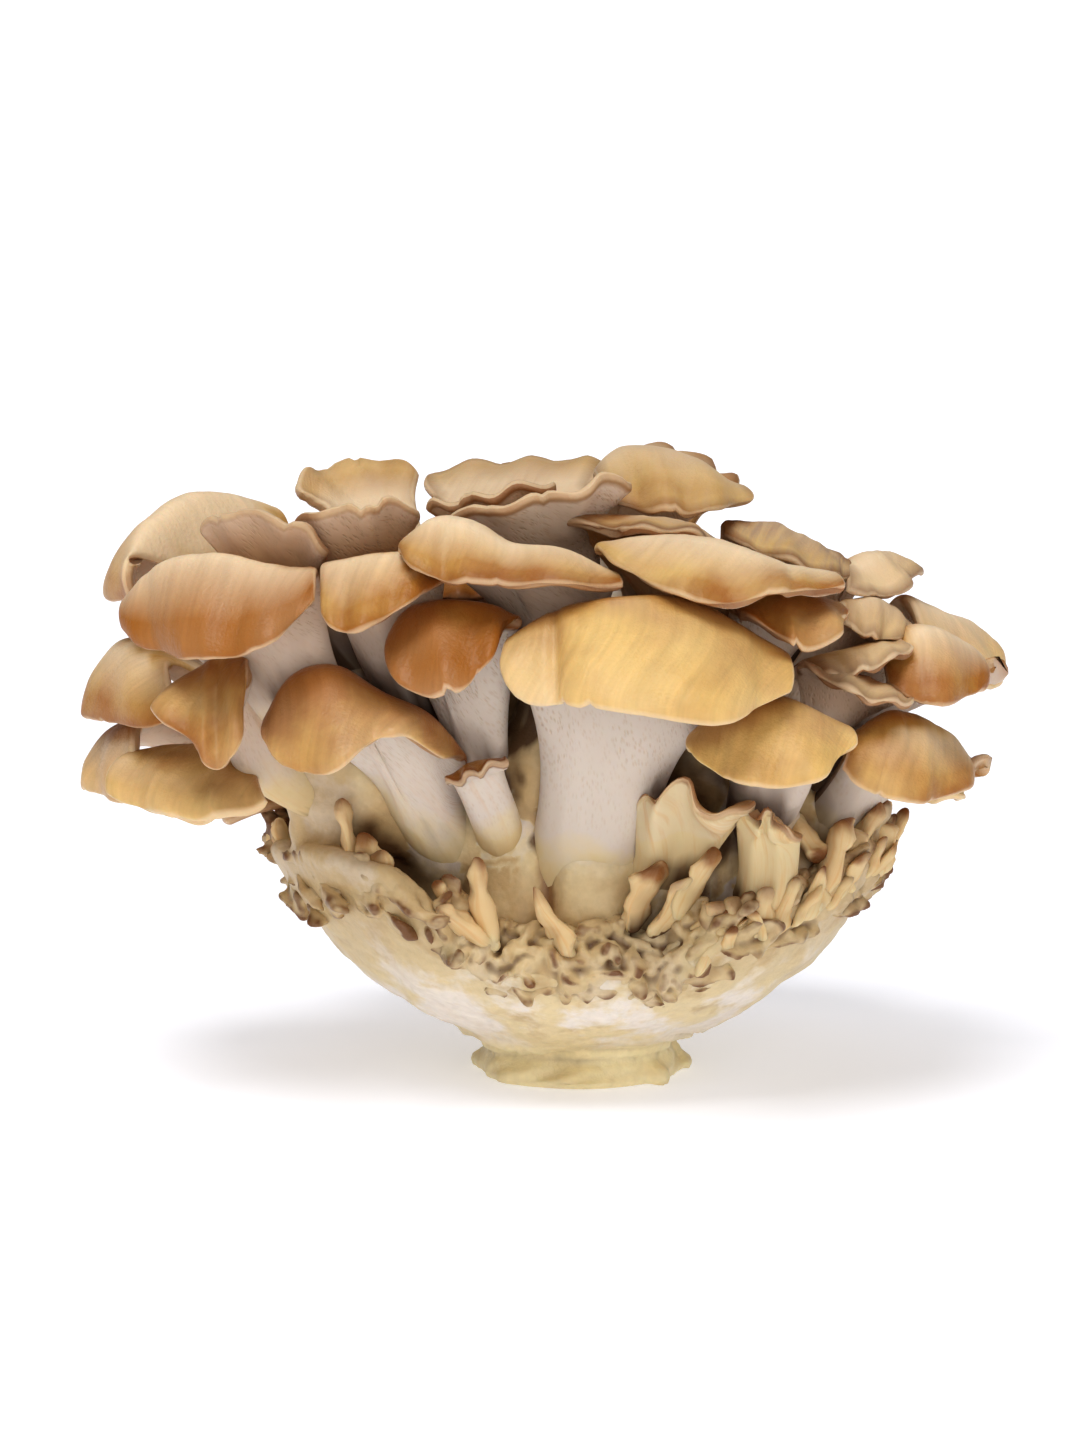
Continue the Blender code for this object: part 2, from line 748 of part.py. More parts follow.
def bud_mesh(bud):
    """A blunt finger: a coarse ball drawn out along its axis and flattened across it."""
    root, tip = Vector(bud.root), Vector(bud.tip)
    axis = tip - root
    turn = axis.to_track_quat("Z", "Y")
    bm = bmesh.new()
    bmesh.ops.create_uvsphere(bm, u_segments=5, v_segments=4, radius=1.0)
    for vert in bm.verts:
        share = (vert.co.z + 1) / 2
        half = bud.width / 2 * (1.15 - 0.45 * share)
        local = Vector((vert.co.x * half, vert.co.y * half * bud.flatness, share * axis.length))
        vert.co = (root + turn @ local) * MM
    bmesh.ops.recalc_face_normals(bm, faces=bm.faces[:])
    return mesh_of(bm, "bud")


def evaluated_mesh(obj):
    graph = bpy.context.evaluated_depsgraph_get()
    return bpy.data.meshes.new_from_object(obj.evaluated_get(graph))


def apply_modifiers(obj):
    mesh = evaluated_mesh(obj)
    obj.modifiers.clear()
    obj.data = mesh


def remove_objects(objects):
    for obj in list(objects):
        bpy.data.objects.remove(obj)


def build_base(flesh):
    """The base's body and every bud on it, joined in one solid."""
    base = new_object("base", base_body(), flesh)
    buds = bpy.data.collections.new("buds")
    for bud in FRONT_BUDS + rim_buds():
        buds.objects.link(bpy.data.objects.new("bud", bud_mesh(bud)))
    union = base.modifiers.new("buds", "BOOLEAN")
    union.operation = "UNION"
    union.operand_type = "COLLECTION"
    union.collection = buds
    apply_modifiers(base)
    remove_objects(buds.objects)
    bpy.data.collections.remove(buds)
    keep_largest_body(base)
    smooth_cut_faces(base, [])
    return base


def islands_of(bm):
    """The faces of each separate body."""
    left = set(bm.faces)
    islands = []
    while left:
        stack = [left.pop()]
        island = list(stack)
        while stack:
            face = stack.pop()
            for edge in face.edges:
                for other in edge.link_faces:
                    if other in left:
                        left.discard(other)
                        stack.append(other)
                        island.append(other)
        islands.append(island)
    return islands


def faces_in_order(mesh):
    """The mesh as editable faces, sorted by place, so that each run gives the same result."""
    bm = bmesh.new()
    bm.from_mesh(mesh)
    skew = Vector((1.0, 1.618, 2.718))
    bm.verts.sort(key=lambda vert: vert.co.dot(skew))
    bm.edges.sort(key=lambda edge: (edge.verts[0].co + edge.verts[1].co).dot(skew))
    bm.faces.sort(key=lambda face: face.calc_center_median().dot(skew))
    return bm


def is_closed(bm):
    return bool(bm.faces) and all(len(edge.link_faces) == 2 for edge in bm.edges)


def keep_largest_body(obj):
    """Drops the scraps that a cut left loose."""
    bm = faces_in_order(obj.data)
    islands = sorted(islands_of(bm), key=lambda faces: sum(face.calc_area() for face in faces))
    scraps = [face for island in islands[:-1] for face in island]
    bmesh.ops.delete(bm, geom=scraps, context="FACES")
    give_mesh(obj, bm)


def give_mesh(obj, bm):
    materials = list(obj.data.materials)
    obj.data = mesh_of(bm, obj.name)
    for item in materials:
        obj.data.materials.append(item)


def smooth_cut_faces(obj, others):
    """Merges what a cut left in nearly flat pieces, and its slivers.

    A merge that would open the solid, or bring it onto one of the others, is left out.
    """
    for angle, sliver in ((FLAT, SLIVER), (FLAT / 2, SLIVER / 5), (FLAT / 4, SLIVER / 5), (0, SLIVER / 5)):
        bm = faces_in_order(obj.data)
        if angle:
            bmesh.ops.dissolve_limit(bm, angle_limit=angle, verts=bm.verts[:], edges=bm.edges[:])
            bmesh.ops.triangulate(bm, faces=bm.faces[:])
        bmesh.ops.dissolve_degenerate(bm, edges=bm.edges[:], dist=sliver * MM)
        bmesh.ops.triangulate(bm, faces=bm.faces[:])
        tree = BVHTree.FromBMesh(bm)
        is_clear = not any(tree.overlap(tree_of(other.data)) for other in others)
        if is_clear and is_closed(bm) and len(islands_of(bm)) == 1:
            give_mesh(obj, bm)
            return
        bm.free()


def tree_of(mesh):
    bm = bmesh.new()
    bm.from_mesh(mesh)
    tree = BVHTree.FromBMesh(bm)
    bm.free()
    return tree


def swollen(mesh, gap):
    """A copy of a mesh, moved out by the gap."""
    copy = mesh.copy()
    shifts = [vert.co + vert.normal * gap * MM for vert in copy.vertices]
    for vert, place in zip(copy.vertices, shifts):
        vert.co = place
    return copy


def meet(mesh, other):
    return bool(tree_of(mesh).overlap(tree_of(other)))


def cut_by(obj, cutter_mesh):
    cutter = bpy.data.objects.new("cutter", cutter_mesh)
    cut = obj.modifiers.new("cut", "BOOLEAN")
    cut.operation = "DIFFERENCE"
    cut.solver = "MANIFOLD"
    cut.object = cutter
    apply_modifiers(obj)
    bpy.data.objects.remove(cutter)
    keep_largest_body(obj)


def clear_of(obj, others):
    """Cuts a frond back where it would run into those that were placed before it.

    A sharp tip swells unevenly, so what still meets it is cut again, with more room.
    """
    for other in others:
        cutter_mesh = swollen(other.data, GAP)
        if meet(obj.data, cutter_mesh):
            cut_by(obj, cutter_mesh)
        for gap in (2 * GAP, 4 * GAP, 0):
            if meet(obj.data, other.data):
                cut_by(obj, swollen(other.data, gap))


def main():
    remove_objects(bpy.data.objects)
    flesh = material("cream_flesh", (0.72, 0.58, 0.38), 0.5)
    skin = material("tan_cap_skin", (0.55, 0.33, 0.13), 0.45)
    placed = [build_base(flesh)]
    for frond in FRONT + back_fronds():
        obj = build_frond(frond, skin)
        clear_of(obj, placed)
        smooth_cut_faces(obj, placed)
        placed.append(obj)


main()
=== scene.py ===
"""The looks of a maitake mushroom: its fronds, its base and the crinkled rim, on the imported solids.

Lengths in the tables are millimetres, and the scene is in metres, +Z up, front facing -Y.
"""

import json
import math
import random
from collections import namedtuple
from functools import partial

import bmesh
import bpy
import numpy as np
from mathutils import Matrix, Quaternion, Vector
from mathutils.bvhtree import BVHTree
from mathutils.kdtree import KDTree

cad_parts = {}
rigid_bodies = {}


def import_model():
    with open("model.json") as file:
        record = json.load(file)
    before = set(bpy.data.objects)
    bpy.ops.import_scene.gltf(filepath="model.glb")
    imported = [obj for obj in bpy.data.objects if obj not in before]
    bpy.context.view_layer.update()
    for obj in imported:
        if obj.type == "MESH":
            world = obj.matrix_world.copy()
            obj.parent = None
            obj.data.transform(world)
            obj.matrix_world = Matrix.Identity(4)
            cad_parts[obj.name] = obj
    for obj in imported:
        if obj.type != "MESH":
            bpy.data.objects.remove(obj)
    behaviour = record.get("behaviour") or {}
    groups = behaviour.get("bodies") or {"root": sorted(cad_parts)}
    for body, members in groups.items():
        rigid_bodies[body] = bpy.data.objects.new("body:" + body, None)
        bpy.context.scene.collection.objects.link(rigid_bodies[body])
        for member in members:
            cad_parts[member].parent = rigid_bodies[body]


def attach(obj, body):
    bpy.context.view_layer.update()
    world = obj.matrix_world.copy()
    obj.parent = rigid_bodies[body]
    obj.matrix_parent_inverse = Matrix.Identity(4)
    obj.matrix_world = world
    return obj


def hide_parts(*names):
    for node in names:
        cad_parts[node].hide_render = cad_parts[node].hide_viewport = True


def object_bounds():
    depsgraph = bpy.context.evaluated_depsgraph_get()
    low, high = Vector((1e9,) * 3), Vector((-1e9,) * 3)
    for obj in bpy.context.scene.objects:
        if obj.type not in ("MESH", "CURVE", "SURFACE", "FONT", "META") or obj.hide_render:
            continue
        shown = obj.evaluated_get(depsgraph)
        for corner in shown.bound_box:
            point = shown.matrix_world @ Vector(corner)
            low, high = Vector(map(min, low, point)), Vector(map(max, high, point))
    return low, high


bl_info = {
    "name": "Maitake Mushroom",
    "version": (1, 0, 0),
    "blender": (4, 5, 0),
    "location": "View3D > Sidebar > Maitake",
    "description": "Builds the fronds, base and rim of a maitake cluster, and its photo stage",
    "category": "Add Mesh",
}

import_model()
MM = 0.001
CAD_BOX = [[value for value in corner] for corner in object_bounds()]


def solids_tree():
    """All the solids as one search tree, in millimetres."""
    points, faces = [], []
    for obj in bpy.data.objects:
        if obj.type == "MESH":
            first = len(points)
            points += [obj.matrix_world @ vert.co / MM for vert in obj.data.vertices]
            faces += [[first + i for i in face.vertices] for face in obj.data.polygons]
    return BVHTree.FromPolygons(points, faces)


SOLIDS = solids_tree()

# Driving dimensions of the base, in millimetres.
FOOT_RADIUS = 20.0
FOOT_HEIGHT = 8.0
BOWL_RADIUS = 65.0
BOWL_CENTRE_Z = 70.0
TRUNK_TOP_Z = 86.0

# The front view in which the fronds of the front are placed: how far off it is taken, how far
# it looks down, the point that it looks at, and how much of that plane its height shows.
VIEW_DISTANCE = 1000.0
VIEW_TILT = math.radians(8.0)
VIEW_AIM = Vector((-7.9, 0.0, 68.8))
VIEW_HEIGHT = 278.1

SEED = 13

# The stalk: how much wider its root is than its neck, how near its sides come to a full round,
# and how far they droop, as a share of its thickness.
ROOT_SPREAD = 1.25
STALK_SIDE = 0.88
STALK_DROOP = 0.16

# A frond is a sheet through a root, a neck, a crown line and a margin line. stem is the stalk's
# width and thickness, flesh and rim the cap's thickness in the middle and at its margin, tuck how
# far the margin curls in, and wave the height, number and start of the margin's waves.
Frond = namedtuple("Frond", "name root neck crown margin stem flesh rim tuck wave")
FRONT_WAVE = (0.8, 3, 0.0)

# How a frond looks: tone runs from ochre at 0 to orange-brown at 1, bloom is how much grey down
# covers the skin, pale how bleached it is towards the margin, edge how brown its margin is, and
# wrinkle its ridges. tan is how tan the hollow of the underside is, and wax how yellow the stalk.
Look = namedtuple("Look", "tone bloom pale edge wrinkle tan wax", defaults=(0.1, 0.0, 0.2, 0.2, 0.0))


def seen(across, up, depth):
    """The point at this depth that the front view shows this far across and up from the origin."""
    aim_up = VIEW_AIM.z * math.cos(VIEW_TILT)
    right, height = across - VIEW_AIM.x, up - aim_up
    cosine, sine = math.cos(VIEW_TILT), math.sin(VIEW_TILT)
    rise = (height * (1 + depth * cosine / VIEW_DISTANCE) - depth * sine) / (
        cosine + height * sine / VIEW_DISTANCE
    )
    away = depth * cosine - rise * sine
    return (VIEW_AIM.x + right * (1 + away / VIEW_DISTANCE), depth, VIEW_AIM.z + rise)


def front_frond(name, root, neck, crown, margin, look, stem=(14, 10), flesh=4.5, rim=2.0, tuck=0.45):
    """A frond whose points are given as the front view shows them, and how it looks."""
    crown = [seen(*point) for point in crown]
    margin = [seen(*point) for point in margin]
    root, neck = seen(*root), seen(*neck)
    return Frond(name, root, neck, crown, margin, stem, flesh, rim, tuck, FRONT_WAVE), Look(*look)


FRONT = [
    front_frond(
        "front_hood", root=(1, 36, -20), neck=(3.5, 56, -33), stem=(22.5, 14), flesh=5.5,
        crown=[(-15, 83, -55), (-4, 89, -58), (20, 91, -60), (41, 81, -54)],
        margin=[
            (-15, 78, -59), (-11, 71, -66), (0, 70.5, -72),
            (14, 68.3, -76), (29, 67.5, -74), (40.5, 72, -64),
        ],
        look=(0.27, 0.0, 0.25, 0.0, 0.0, 0.0),
    ),
    front_frond(
        "front_right_hood", root=(28, 38, -20), neck=(36, 58, -32), stem=(15, 11),
        crown=[(20, 65.5, -52), (28, 71, -55), (40, 72, -57), (53, 67, -51)],
        margin=[(20.5, 62, -58), (26, 57, -66), (36, 54.8, -70), (46, 56.5, -68), (53.5, 63, -58)],
        look=(0.3, 0.0, 0.3, 0.0, 0.0, 0.1),
    ),
    front_frond(
        "right_low_hood", root=(34, 40, -12), neck=(50, 57, -18),
        crown=[(52, 65.5, -42), (61, 69.5, -40), (70, 67, -30), (76, 60, -12)],
        margin=[(50, 58, -49), (57, 53.5, -52), (67, 51.8, -48), (74, 54.5, -36), (78, 59.5, -18)],
        look=(0.65, 0.0, 0.1, 0.1, 0.2, 0.1),
    ),
    front_frond(
        "right_hood", root=(32, 48, -6), neck=(50, 70, -10), stem=(12, 9),
        crown=[(57, 82, -30), (66, 86, -30), (75, 83, -20), (79, 77, -6)],
        margin=[(59, 74, -40), (68, 71, -42), (76, 73, -32), (79.5, 78, -14)],
        look=(0.8, 0.0, 0.0, 0.1, 0.1),
    ),
    front_frond(
        "right_back_hood", root=(30, 52, 10), neck=(50, 74, 12), stem=(12, 9),
        crown=[(64, 91, -12), (73, 88, 0), (77, 86, 16)],
        margin=[(70, 73, -22), (80, 73.5, -8), (82.2, 78, 6), (80, 80, 22)],
        look=(0.35, 0.1, 0.5, 0.1, 0.1),
    ),
    front_frond(
        "right_oval", root=(24, 60, -4), neck=(40, 84, -8), stem=(10, 7), flesh=3.5,
        crown=[(51, 97, -22), (58, 100.5, -16), (60, 100, -4)],
        margin=[(51, 92, -28), (62, 92.5, -24), (65.5, 96, -12), (64, 97, 2)],
        look=(0.1, 0.35, 0.9, 0.7, 0.8, 0.5),
    ),
    front_frond(
        "right_leaf", root=(26, 54, -16), neck=(38, 72, -27), stem=(10, 7), flesh=3.0, rim=1.5,
        crown=[(43, 80, -35), (52, 82, -36), (59, 84, -29)],
        margin=[(46, 76.5, -45), (56, 78, -46), (64.5, 82.5, -37)],
        look=(0.1, 0.5, 0.8, 0.5, 0.8, 0.3),
    ),
    front_frond(
        "right_strip", root=(32, 50, -16), neck=(45, 67, -26), stem=(8, 5), flesh=3.0, rim=1.5,
        crown=[(42, 79.5, -37), (50, 78, -41), (58, 75.5, -41), (63, 73, -36)],
        margin=[(42, 78.5, -43), (50, 74.5, -49), (58, 72, -50), (64.5, 71.5, -44)],
        look=(0.2, 0.6, 0.7, 0.6, 0.8, 0.4),
    ),
    front_frond(
        "right_ochre", root=(20, 56, -20), neck=(30, 76, -28), stem=(11, 8),
        crown=[(29, 91, -45), (40, 93, -47), (51, 91, -42)],
        margin=[(31, 88, -52), (38, 84.5, -57), (43, 81.5, -59), (50, 83.5, -55), (51.5, 88, -48)],
        look=(0.7, 0.0, 0.1, 0.2, 0.1),
    ),
    front_frond(
        "right_lip", root=(16, 60, -16), neck=(22, 84, -26), stem=(14, 9),
        crown=[(3, 102, -41), (13, 103, -46), (26, 102, -50), (38, 99, -50), (50, 96.5, -43)],
        margin=[(3, 100.5, -45), (12, 95, -58), (24, 91, -64), (38, 92.5, -62), (51, 94, -51)],
        look=(0.55, 0.1, 0.05, 0.2, 0.3, 0.8),
    ),
    front_frond(
        "right_flat", root=(12, 68, -6), neck=(14, 94, -14), stem=(12, 7), flesh=3.5,
        crown=[(-2, 107, -28), (10, 108.3, -32), (20, 107.5, -32), (27, 103, -28)],
        margin=[(-3, 106, -35), (8, 105.5, -42), (20, 105, -44), (28, 101, -39)],
        look=(0.5, 0.5, 0.3, 0.9, 0.5, 0.9),
    ),
    front_frond(
        "top_right_hood", root=(8, 76, 8), neck=(8, 100, 10), stem=(12, 9),
        crown=[(2, 116, -6), (9, 121.8, -4), (20, 119.5, -6), (31, 113, -6)],
        margin=[(4, 110, -24), (14, 108.5, -32), (24, 108.5, -31), (33, 109.8, -18)],
        look=(0.5, 0.4, 0.15, 0.4, 0.5, 0.4),
    ),
    front_frond(
        "centre_cup", root=(-2, 68, -8), neck=(-4, 96, -16), stem=(14, 9), flesh=4.0, tuck=0.0,
        crown=[(-20, 103, -27), (-6, 106, -28), (4, 109, -24)],
        margin=[(-29, 107, -34), (-16, 110.3, -38), (-4, 113, -38), (4, 116, -36), (11, 116.5, -31)],
        look=(0.6, 0.5, 0.3, 0.5, 0.5, 0.3),
    ),
    front_frond(
        "centre_cup_back", root=(-8, 74, 0), neck=(-11, 100, -6), stem=(12, 7), flesh=3.5, tuck=0.0,
        crown=[(-26, 107, -15), (-14, 109.5, -16), (-5, 111.5, -12)],
        margin=[(-31, 109.7, -23), (-20, 113, -27), (-5, 115.3, -25)],
        look=(0.6, 0.5, 0.3, 0.6, 0.5, 0.4),
    ),
    front_frond(
        "top_mid", root=(-8, 76, 8), neck=(-11, 104, 6), stem=(12, 8), flesh=3.5, tuck=0.0,
        crown=[(2, 114.5, 14), (-14, 113.5, 15), (-29, 112, 13)],
        margin=[(5, 118, 28), (-12, 118.6, 32), (-30, 117, 27)],
        look=(0.5, 0.45, 0.3, 0.5, 0.5, 0.5),
    ),
    front_frond(
        "top_left_cap", root=(-18, 74, 6), neck=(-34, 101, -2), stem=(12, 8), flesh=3.5, tuck=0.0,
        crown=[(-32, 111, 9), (-42, 110.5, 9), (-49, 110, 2)],
        margin=[(-31, 117, 18), (-42, 119, 23), (-52, 118, 15), (-55, 113.5, 2)],
        look=(0.55, 0.3, 0.2, 0.3, 0.4, 0.6),
    ),
    front_frond(
        "left_cup", root=(-20, 68, -12), neck=(-36, 94, -22), stem=(13, 8), flesh=4.0, tuck=0.0,
        crown=[(-52, 99.5, -29), (-42, 103, -31), (-33, 104, -28)],
        margin=[(-56, 108, -33), (-48, 110, -39), (-39, 111.5, -41), (-31, 111, -35)],
        look=(0.5, 0.3, 0.3, 0.5, 0.4, 0.8),
    ),
    front_frond(
        "left_inner", root=(-28, 64, -14), neck=(-50, 88, -25), stem=(12, 7), flesh=3.0, tuck=0.0,
        crown=[(-66, 98, -27), (-58, 99, -31), (-50, 96, -31)],
        margin=[(-75, 107, -29), (-66, 109, -35), (-55, 106.5, -41), (-48, 101.5, -41)],
        look=(0.6, 0.4, 0.2, 0.6, 0.5, 0.9),
    ),
    front_frond(
        "left_back_hood", root=(-30, 62, 4), neck=(-54, 90, 0), stem=(14, 9),
        crown=[(-60, 109, 14), (-73, 112.5, 0), (-83, 107, -14), (-87, 100, -25)],
        margin=[(-76, 98, 26), (-88, 94, 12), (-91.5, 92, -6), (-86, 90, -27)],
        look=(0.6, 0.1, 0.05, 0.1, 0.2, 0.6),
    ),
    front_frond(
        "left_hood", root=(-28, 52, -18), neck=(-55, 77, -31), stem=(21, 11),
        crown=[(-88, 91.5, -31), (-82, 98.5, -37), (-70, 99.8, -42), (-60, 98, -44), (-51, 98.5, -43)],
        margin=[(-87.5, 84, -39), (-80, 80.5, -50), (-71, 79.7, -60), (-60, 83, -62), (-51, 90.5, -55)],
        look=(1.25, 0.0, 0.05, 0.1, 0.25, 0.3, 0.2),
    ),
    front_frond(
        "left_hood_lobe", root=(-22, 54, -18), neck=(-35, 82, -31), stem=(16, 10),
        crown=[(-50.5, 98.5, -43), (-43, 99.5, -46), (-33, 100.3, -46), (-26, 97.5, -41)],
        margin=[(-50, 86.5, -57), (-44, 85, -61), (-35, 89, -59), (-25, 95, -49)],
        look=(0.7, 0.0, 0.05, 0.1, 0.25, 0.3),
    ),
    front_frond(
        "centre_lip", root=(-6, 52, -24), neck=(-4, 84, -33), stem=(15, 9),
        crown=[
            (-35, 102.5, -46), (-29, 107, -48), (-21, 105.5, -48),
            (-13, 102, -50), (-3, 101, -52), (8, 96.5, -49),
        ],
        margin=[
            (-34.5, 100, -52), (-30, 96, -58), (-22, 94.5, -61),
            (-12, 94.8, -62), (-2, 94.5, -62), (8.5, 94, -56),
        ],
        look=(0.6, 0.05, 0.05, 0.3, 0.2, 0.3),
    ),
    front_frond(
        "centre_left_curl", root=(-16, 42, -20), neck=(-20, 64, -33), stem=(11, 9),
        crown=[(-38, 84, -46), (-34, 89, -48), (-26, 91, -50), (-17, 90.7, -50), (-11.5, 88, -45)],
        margin=[
            (-37.5, 78, -53), (-33, 73, -60), (-26, 72.5, -63),
            (-20, 76, -62), (-16, 82, -57), (-12, 87, -49),
        ],
        look=(1.35, 0.0, 0.0, 0.0, 0.1, 0.0),
    ),
    front_frond(
        "centre_left_inner", root=(-14, 66, -6), neck=(-20, 86, -12), stem=(9, 6), flesh=3.0, rim=1.6,
        crown=[(-31, 96, -23), (-22, 98, -25), (-13, 96, -23)],
        margin=[(-32, 92, -31), (-22, 91.5, -35), (-12, 91.5, -31)],
        look=(0.8, 0.0, 0.0, 0.1, 0.1, 0.5),
    ),
    front_frond(
        "left_front_cap", root=(-18, 38, -16), neck=(-28.5, 54, -30), stem=(16, 12),
        crown=[
            (-61.5, 68, -45), (-56, 75.5, -47), (-48, 77, -49),
            (-39, 74, -50), (-29, 69, -48), (-22, 61.5, -44),
        ],
        margin=[
            (-61, 63.5, -52), (-55, 58, -60), (-47, 58.5, -64),
            (-40, 64, -62), (-34, 65, -58), (-26, 60, -50),
        ],
        look=(0.9, 0.0, 0.3, 0.0, 0.1, 0.0, 0.35),
    ),
    front_frond(
        "left_mid_cap", root=(-34, 48, -2), neck=(-60, 71, -4), stem=(14, 9),
        crown=[(-80, 82, 14), (-89, 82.5, 0), (-88, 82, -14), (-80, 79, -26)],
        margin=[(-90, 72, 24), (-97, 70, 5), (-94, 67.5, -14), (-84, 66.5, -30), (-77, 68, -36)],
        look=(0.6, 0.05, 0.1, 0.1, 0.2, 0.4),
    ),
    front_frond(
        "left_front_lobe", root=(-32, 48, -18), neck=(-60, 61, -27), stem=(12, 8),
        crown=[(-75, 77.5, -37), (-70, 80, -39), (-64, 80, -38)],
        margin=[(-84, 69.5, -44), (-76, 64, -51), (-70.5, 58.5, -55), (-66, 64, -54), (-64, 74, -47)],
        look=(0.7, 0.05, 0.1, 0.1, 0.2, 0.3, 0.3),
    ),
    front_frond(
        "left_low_cap", root=(-34, 50, -2), neck=(-60, 62, -4), stem=(13, 8),
        crown=[(-86, 66, 14), (-92, 66, -2), (-87, 66.5, -17)],
        margin=[(-90, 58, 18), (-95.5, 56, 0), (-91.5, 52, -16), (-84, 51, -29)],
        look=(0.7, 0.0, 0.4, 0.1, 0.3, 0.3),
    ),
    front_frond(
        "left_low_rim", root=(-32, 50, -14), neck=(-57, 61, -17), stem=(11, 6),
        crown=[(-88, 62, -19), (-80, 63.5, -21), (-70, 62.5, -24), (-62, 60, -27)],
        margin=[(-91, 53, -29), (-82, 50, -39), (-72, 49, -45), (-60, 52.5, -43)],
        look=(0.3, 0.05, 0.4, 0.1, 0.2, 0.0),
    ),
    front_frond(
        "right_wrinkled", root=(18, 66, 0), neck=(30, 90, -6), stem=(11, 7), flesh=3.5,
        crown=[(27, 106.5, -14), (38, 106, -14), (48, 101, -10)],
        margin=[(27, 103, -24), (38, 99.5, -32), (47, 96.5, -32), (54, 95, -22)],
        look=(0.4, 1.0, 0.4, 0.8, 1.0, 0.5),
    ),
    front_frond(
        "right_curled", root=(24, 58, -8), neck=(42, 77, -15), stem=(10, 7), flesh=3.0, rim=1.5,
        crown=[(50, 91, -28), (58, 91.5, -26), (63, 88, -18)],
        margin=[(51, 86, -36), (58, 83.5, -36), (64.5, 84, -27)],
        look=(0.3, 0.5, 0.6, 0.5, 0.8, 0.4),
    ),
    front_frond(
        "low_right_folded", root=(10, 32, -26), neck=(18, 44, -37), stem=(15, 7), flesh=3.5, rim=1.8,
        crown=[(11, 52, -42), (18, 52.5, -45), (25, 51.5, -45), (33, 53, -42)],
        margin=[(11, 54, -45), (17, 56, -49), (25, 52, -50), (34, 52.5, -46)],
        look=(0.3, 0.2, 0.5, 0.25, 0.2, 0, 0.9),
    ),
    front_frond(
        "low_right_stout", root=(32, 27, -30), neck=(36, 38, -37), stem=(11, 8), flesh=3.5, rim=1.8,
        crown=[(30, 48, -42), (36, 50, -44), (43, 46, -43)],
        margin=[(30, 50, -45), (37, 51, -48), (44, 45, -47)],
        look=(0.3, 0.4, 0.4, 0.6, 0.3, 0, 1.0),
    ),
    front_frond(
        "front_small_curl", root=(-14, 38, -22), neck=(-17, 50, -36), stem=(9, 6), flesh=3.0, rim=1.6,
        crown=[(-26, 57, -47), (-21, 60, -49), (-15, 61, -46)],
        margin=[(-27, 56, -51), (-21, 57.5, -54), (-14, 62, -50)],
        look=(1.0, 0.0, 0.0, 1.0, 0.2, 0.0, 0.45),
    ),
]

# The back's fronds stand in tiers: count, first and last angle in degrees, height of the crown,
# reach, width, droop of the margin.
BACK_TIERS = [
    ("low", 6, 14, 162, 61, 78, 33, 9),
    ("middle", 5, 28, 150, 83, 74, 35, 10),
    ("upper", 4, 30, 146, 99, 58, 31, 7),
    ("top", 2, 52, 104, 115, 44, 27, 2),
]


# How far in from its margin such a frond's crown stands, and how far out its root, in millimetres.
# Its root and neck are this share of the crown's height up, and this many millimetres more.
CAP_DEPTH = 13
ROOT_REACH = 18
ROOT_UP = (0.35, 24)
NECK_UP = (0.7, 11)


def back_frond(name, degrees, height, reach, width, droop, draw):
    """A frond that leans out at this angle round the cluster, from the right by the back."""
    angle = math.radians(degrees)
    out = np.array([math.cos(angle), math.sin(angle), 0.0])
    side = np.array([-math.sin(angle), math.cos(angle), 0.0])
    up = np.array([0.0, 0.0, 1.0])
    lean = draw.uniform(-6, 6)
    reach += draw.uniform(-5, 3)
    height += draw.uniform(-3, 3)
    width *= draw.uniform(0.8, 1.15)
    crown = []
    margin = []
    for share in (-1, -0.4, 0.4, 1):
        bulge = 1 - draw.uniform(0.1, 0.2) * share**2
        swell = draw.uniform(-2, 2)
        across = share * width / 2 * side
        ridge = height + lean * share + swell - 4 * share**2
        hem = height - droop + lean * share - swell
        crown.append(out * (reach - CAP_DEPTH) * bulge + across * 0.9 + up * ridge)
        margin.append(out * reach * bulge + across + up * hem)
    root = out * ROOT_REACH + up * (ROOT_UP[0] * height + ROOT_UP[1])
    neck = out * 0.5 * reach + up * (NECK_UP[0] * height + NECK_UP[1])
    stem = (draw.uniform(9, 12), draw.uniform(6, 8))
    wave = (1.2, draw.choice((2, 3)), draw.random())
    return Frond(name, root, neck, crown, margin, stem, 4.0, 2.0, 0.4, wave)


def back_fronds():
    """The fronds that the front view doesn't show, each with a look drawn after its form."""
    draw = random.Random(SEED)
    paint = random.Random(SEED + 2)
    fronds = []
    for tier, count, first, last, height, reach, width, droop in BACK_TIERS:
        for i in range(count):
            degrees = first + (last - first) * i / max(count - 1, 1) + draw.uniform(-4, 4)
            name = "back_" + tier + "_" + str(i + 1)
            form = back_frond(name, degrees, height, reach, width, droop, draw)
            bloom = paint.uniform(0.0, 0.7) * (height > 90)
            edge = paint.uniform(0.0, 0.4) + 0.4 * bloom
            pale = paint.uniform(0.0, 0.4)
            look = Look(paint.uniform(0.15, 0.85), bloom, pale, edge, 0.1 + bloom, 0.6 * paint.random())
            fronds.append((form, look))
    return fronds


def smooth_between(low, high, x):
    """0 below low, 1 above high, and a smooth rise between them."""
    f = np.clip((x - low) / (high - low), 0.0, 1.0)
    return f * f * (3.0 - 2.0 * f)


def hermite(start, end, leaving, arriving, f):
    """The point a share f of the way along the cubic with these ends and end tangents."""
    return (
        (2 * f**3 - 3 * f**2 + 1) * start
        + (f**3 - 2 * f**2 + f) * leaving
        + (3 * f**2 - 2 * f**3) * end
        + (f**3 - f**2) * arriving
    )


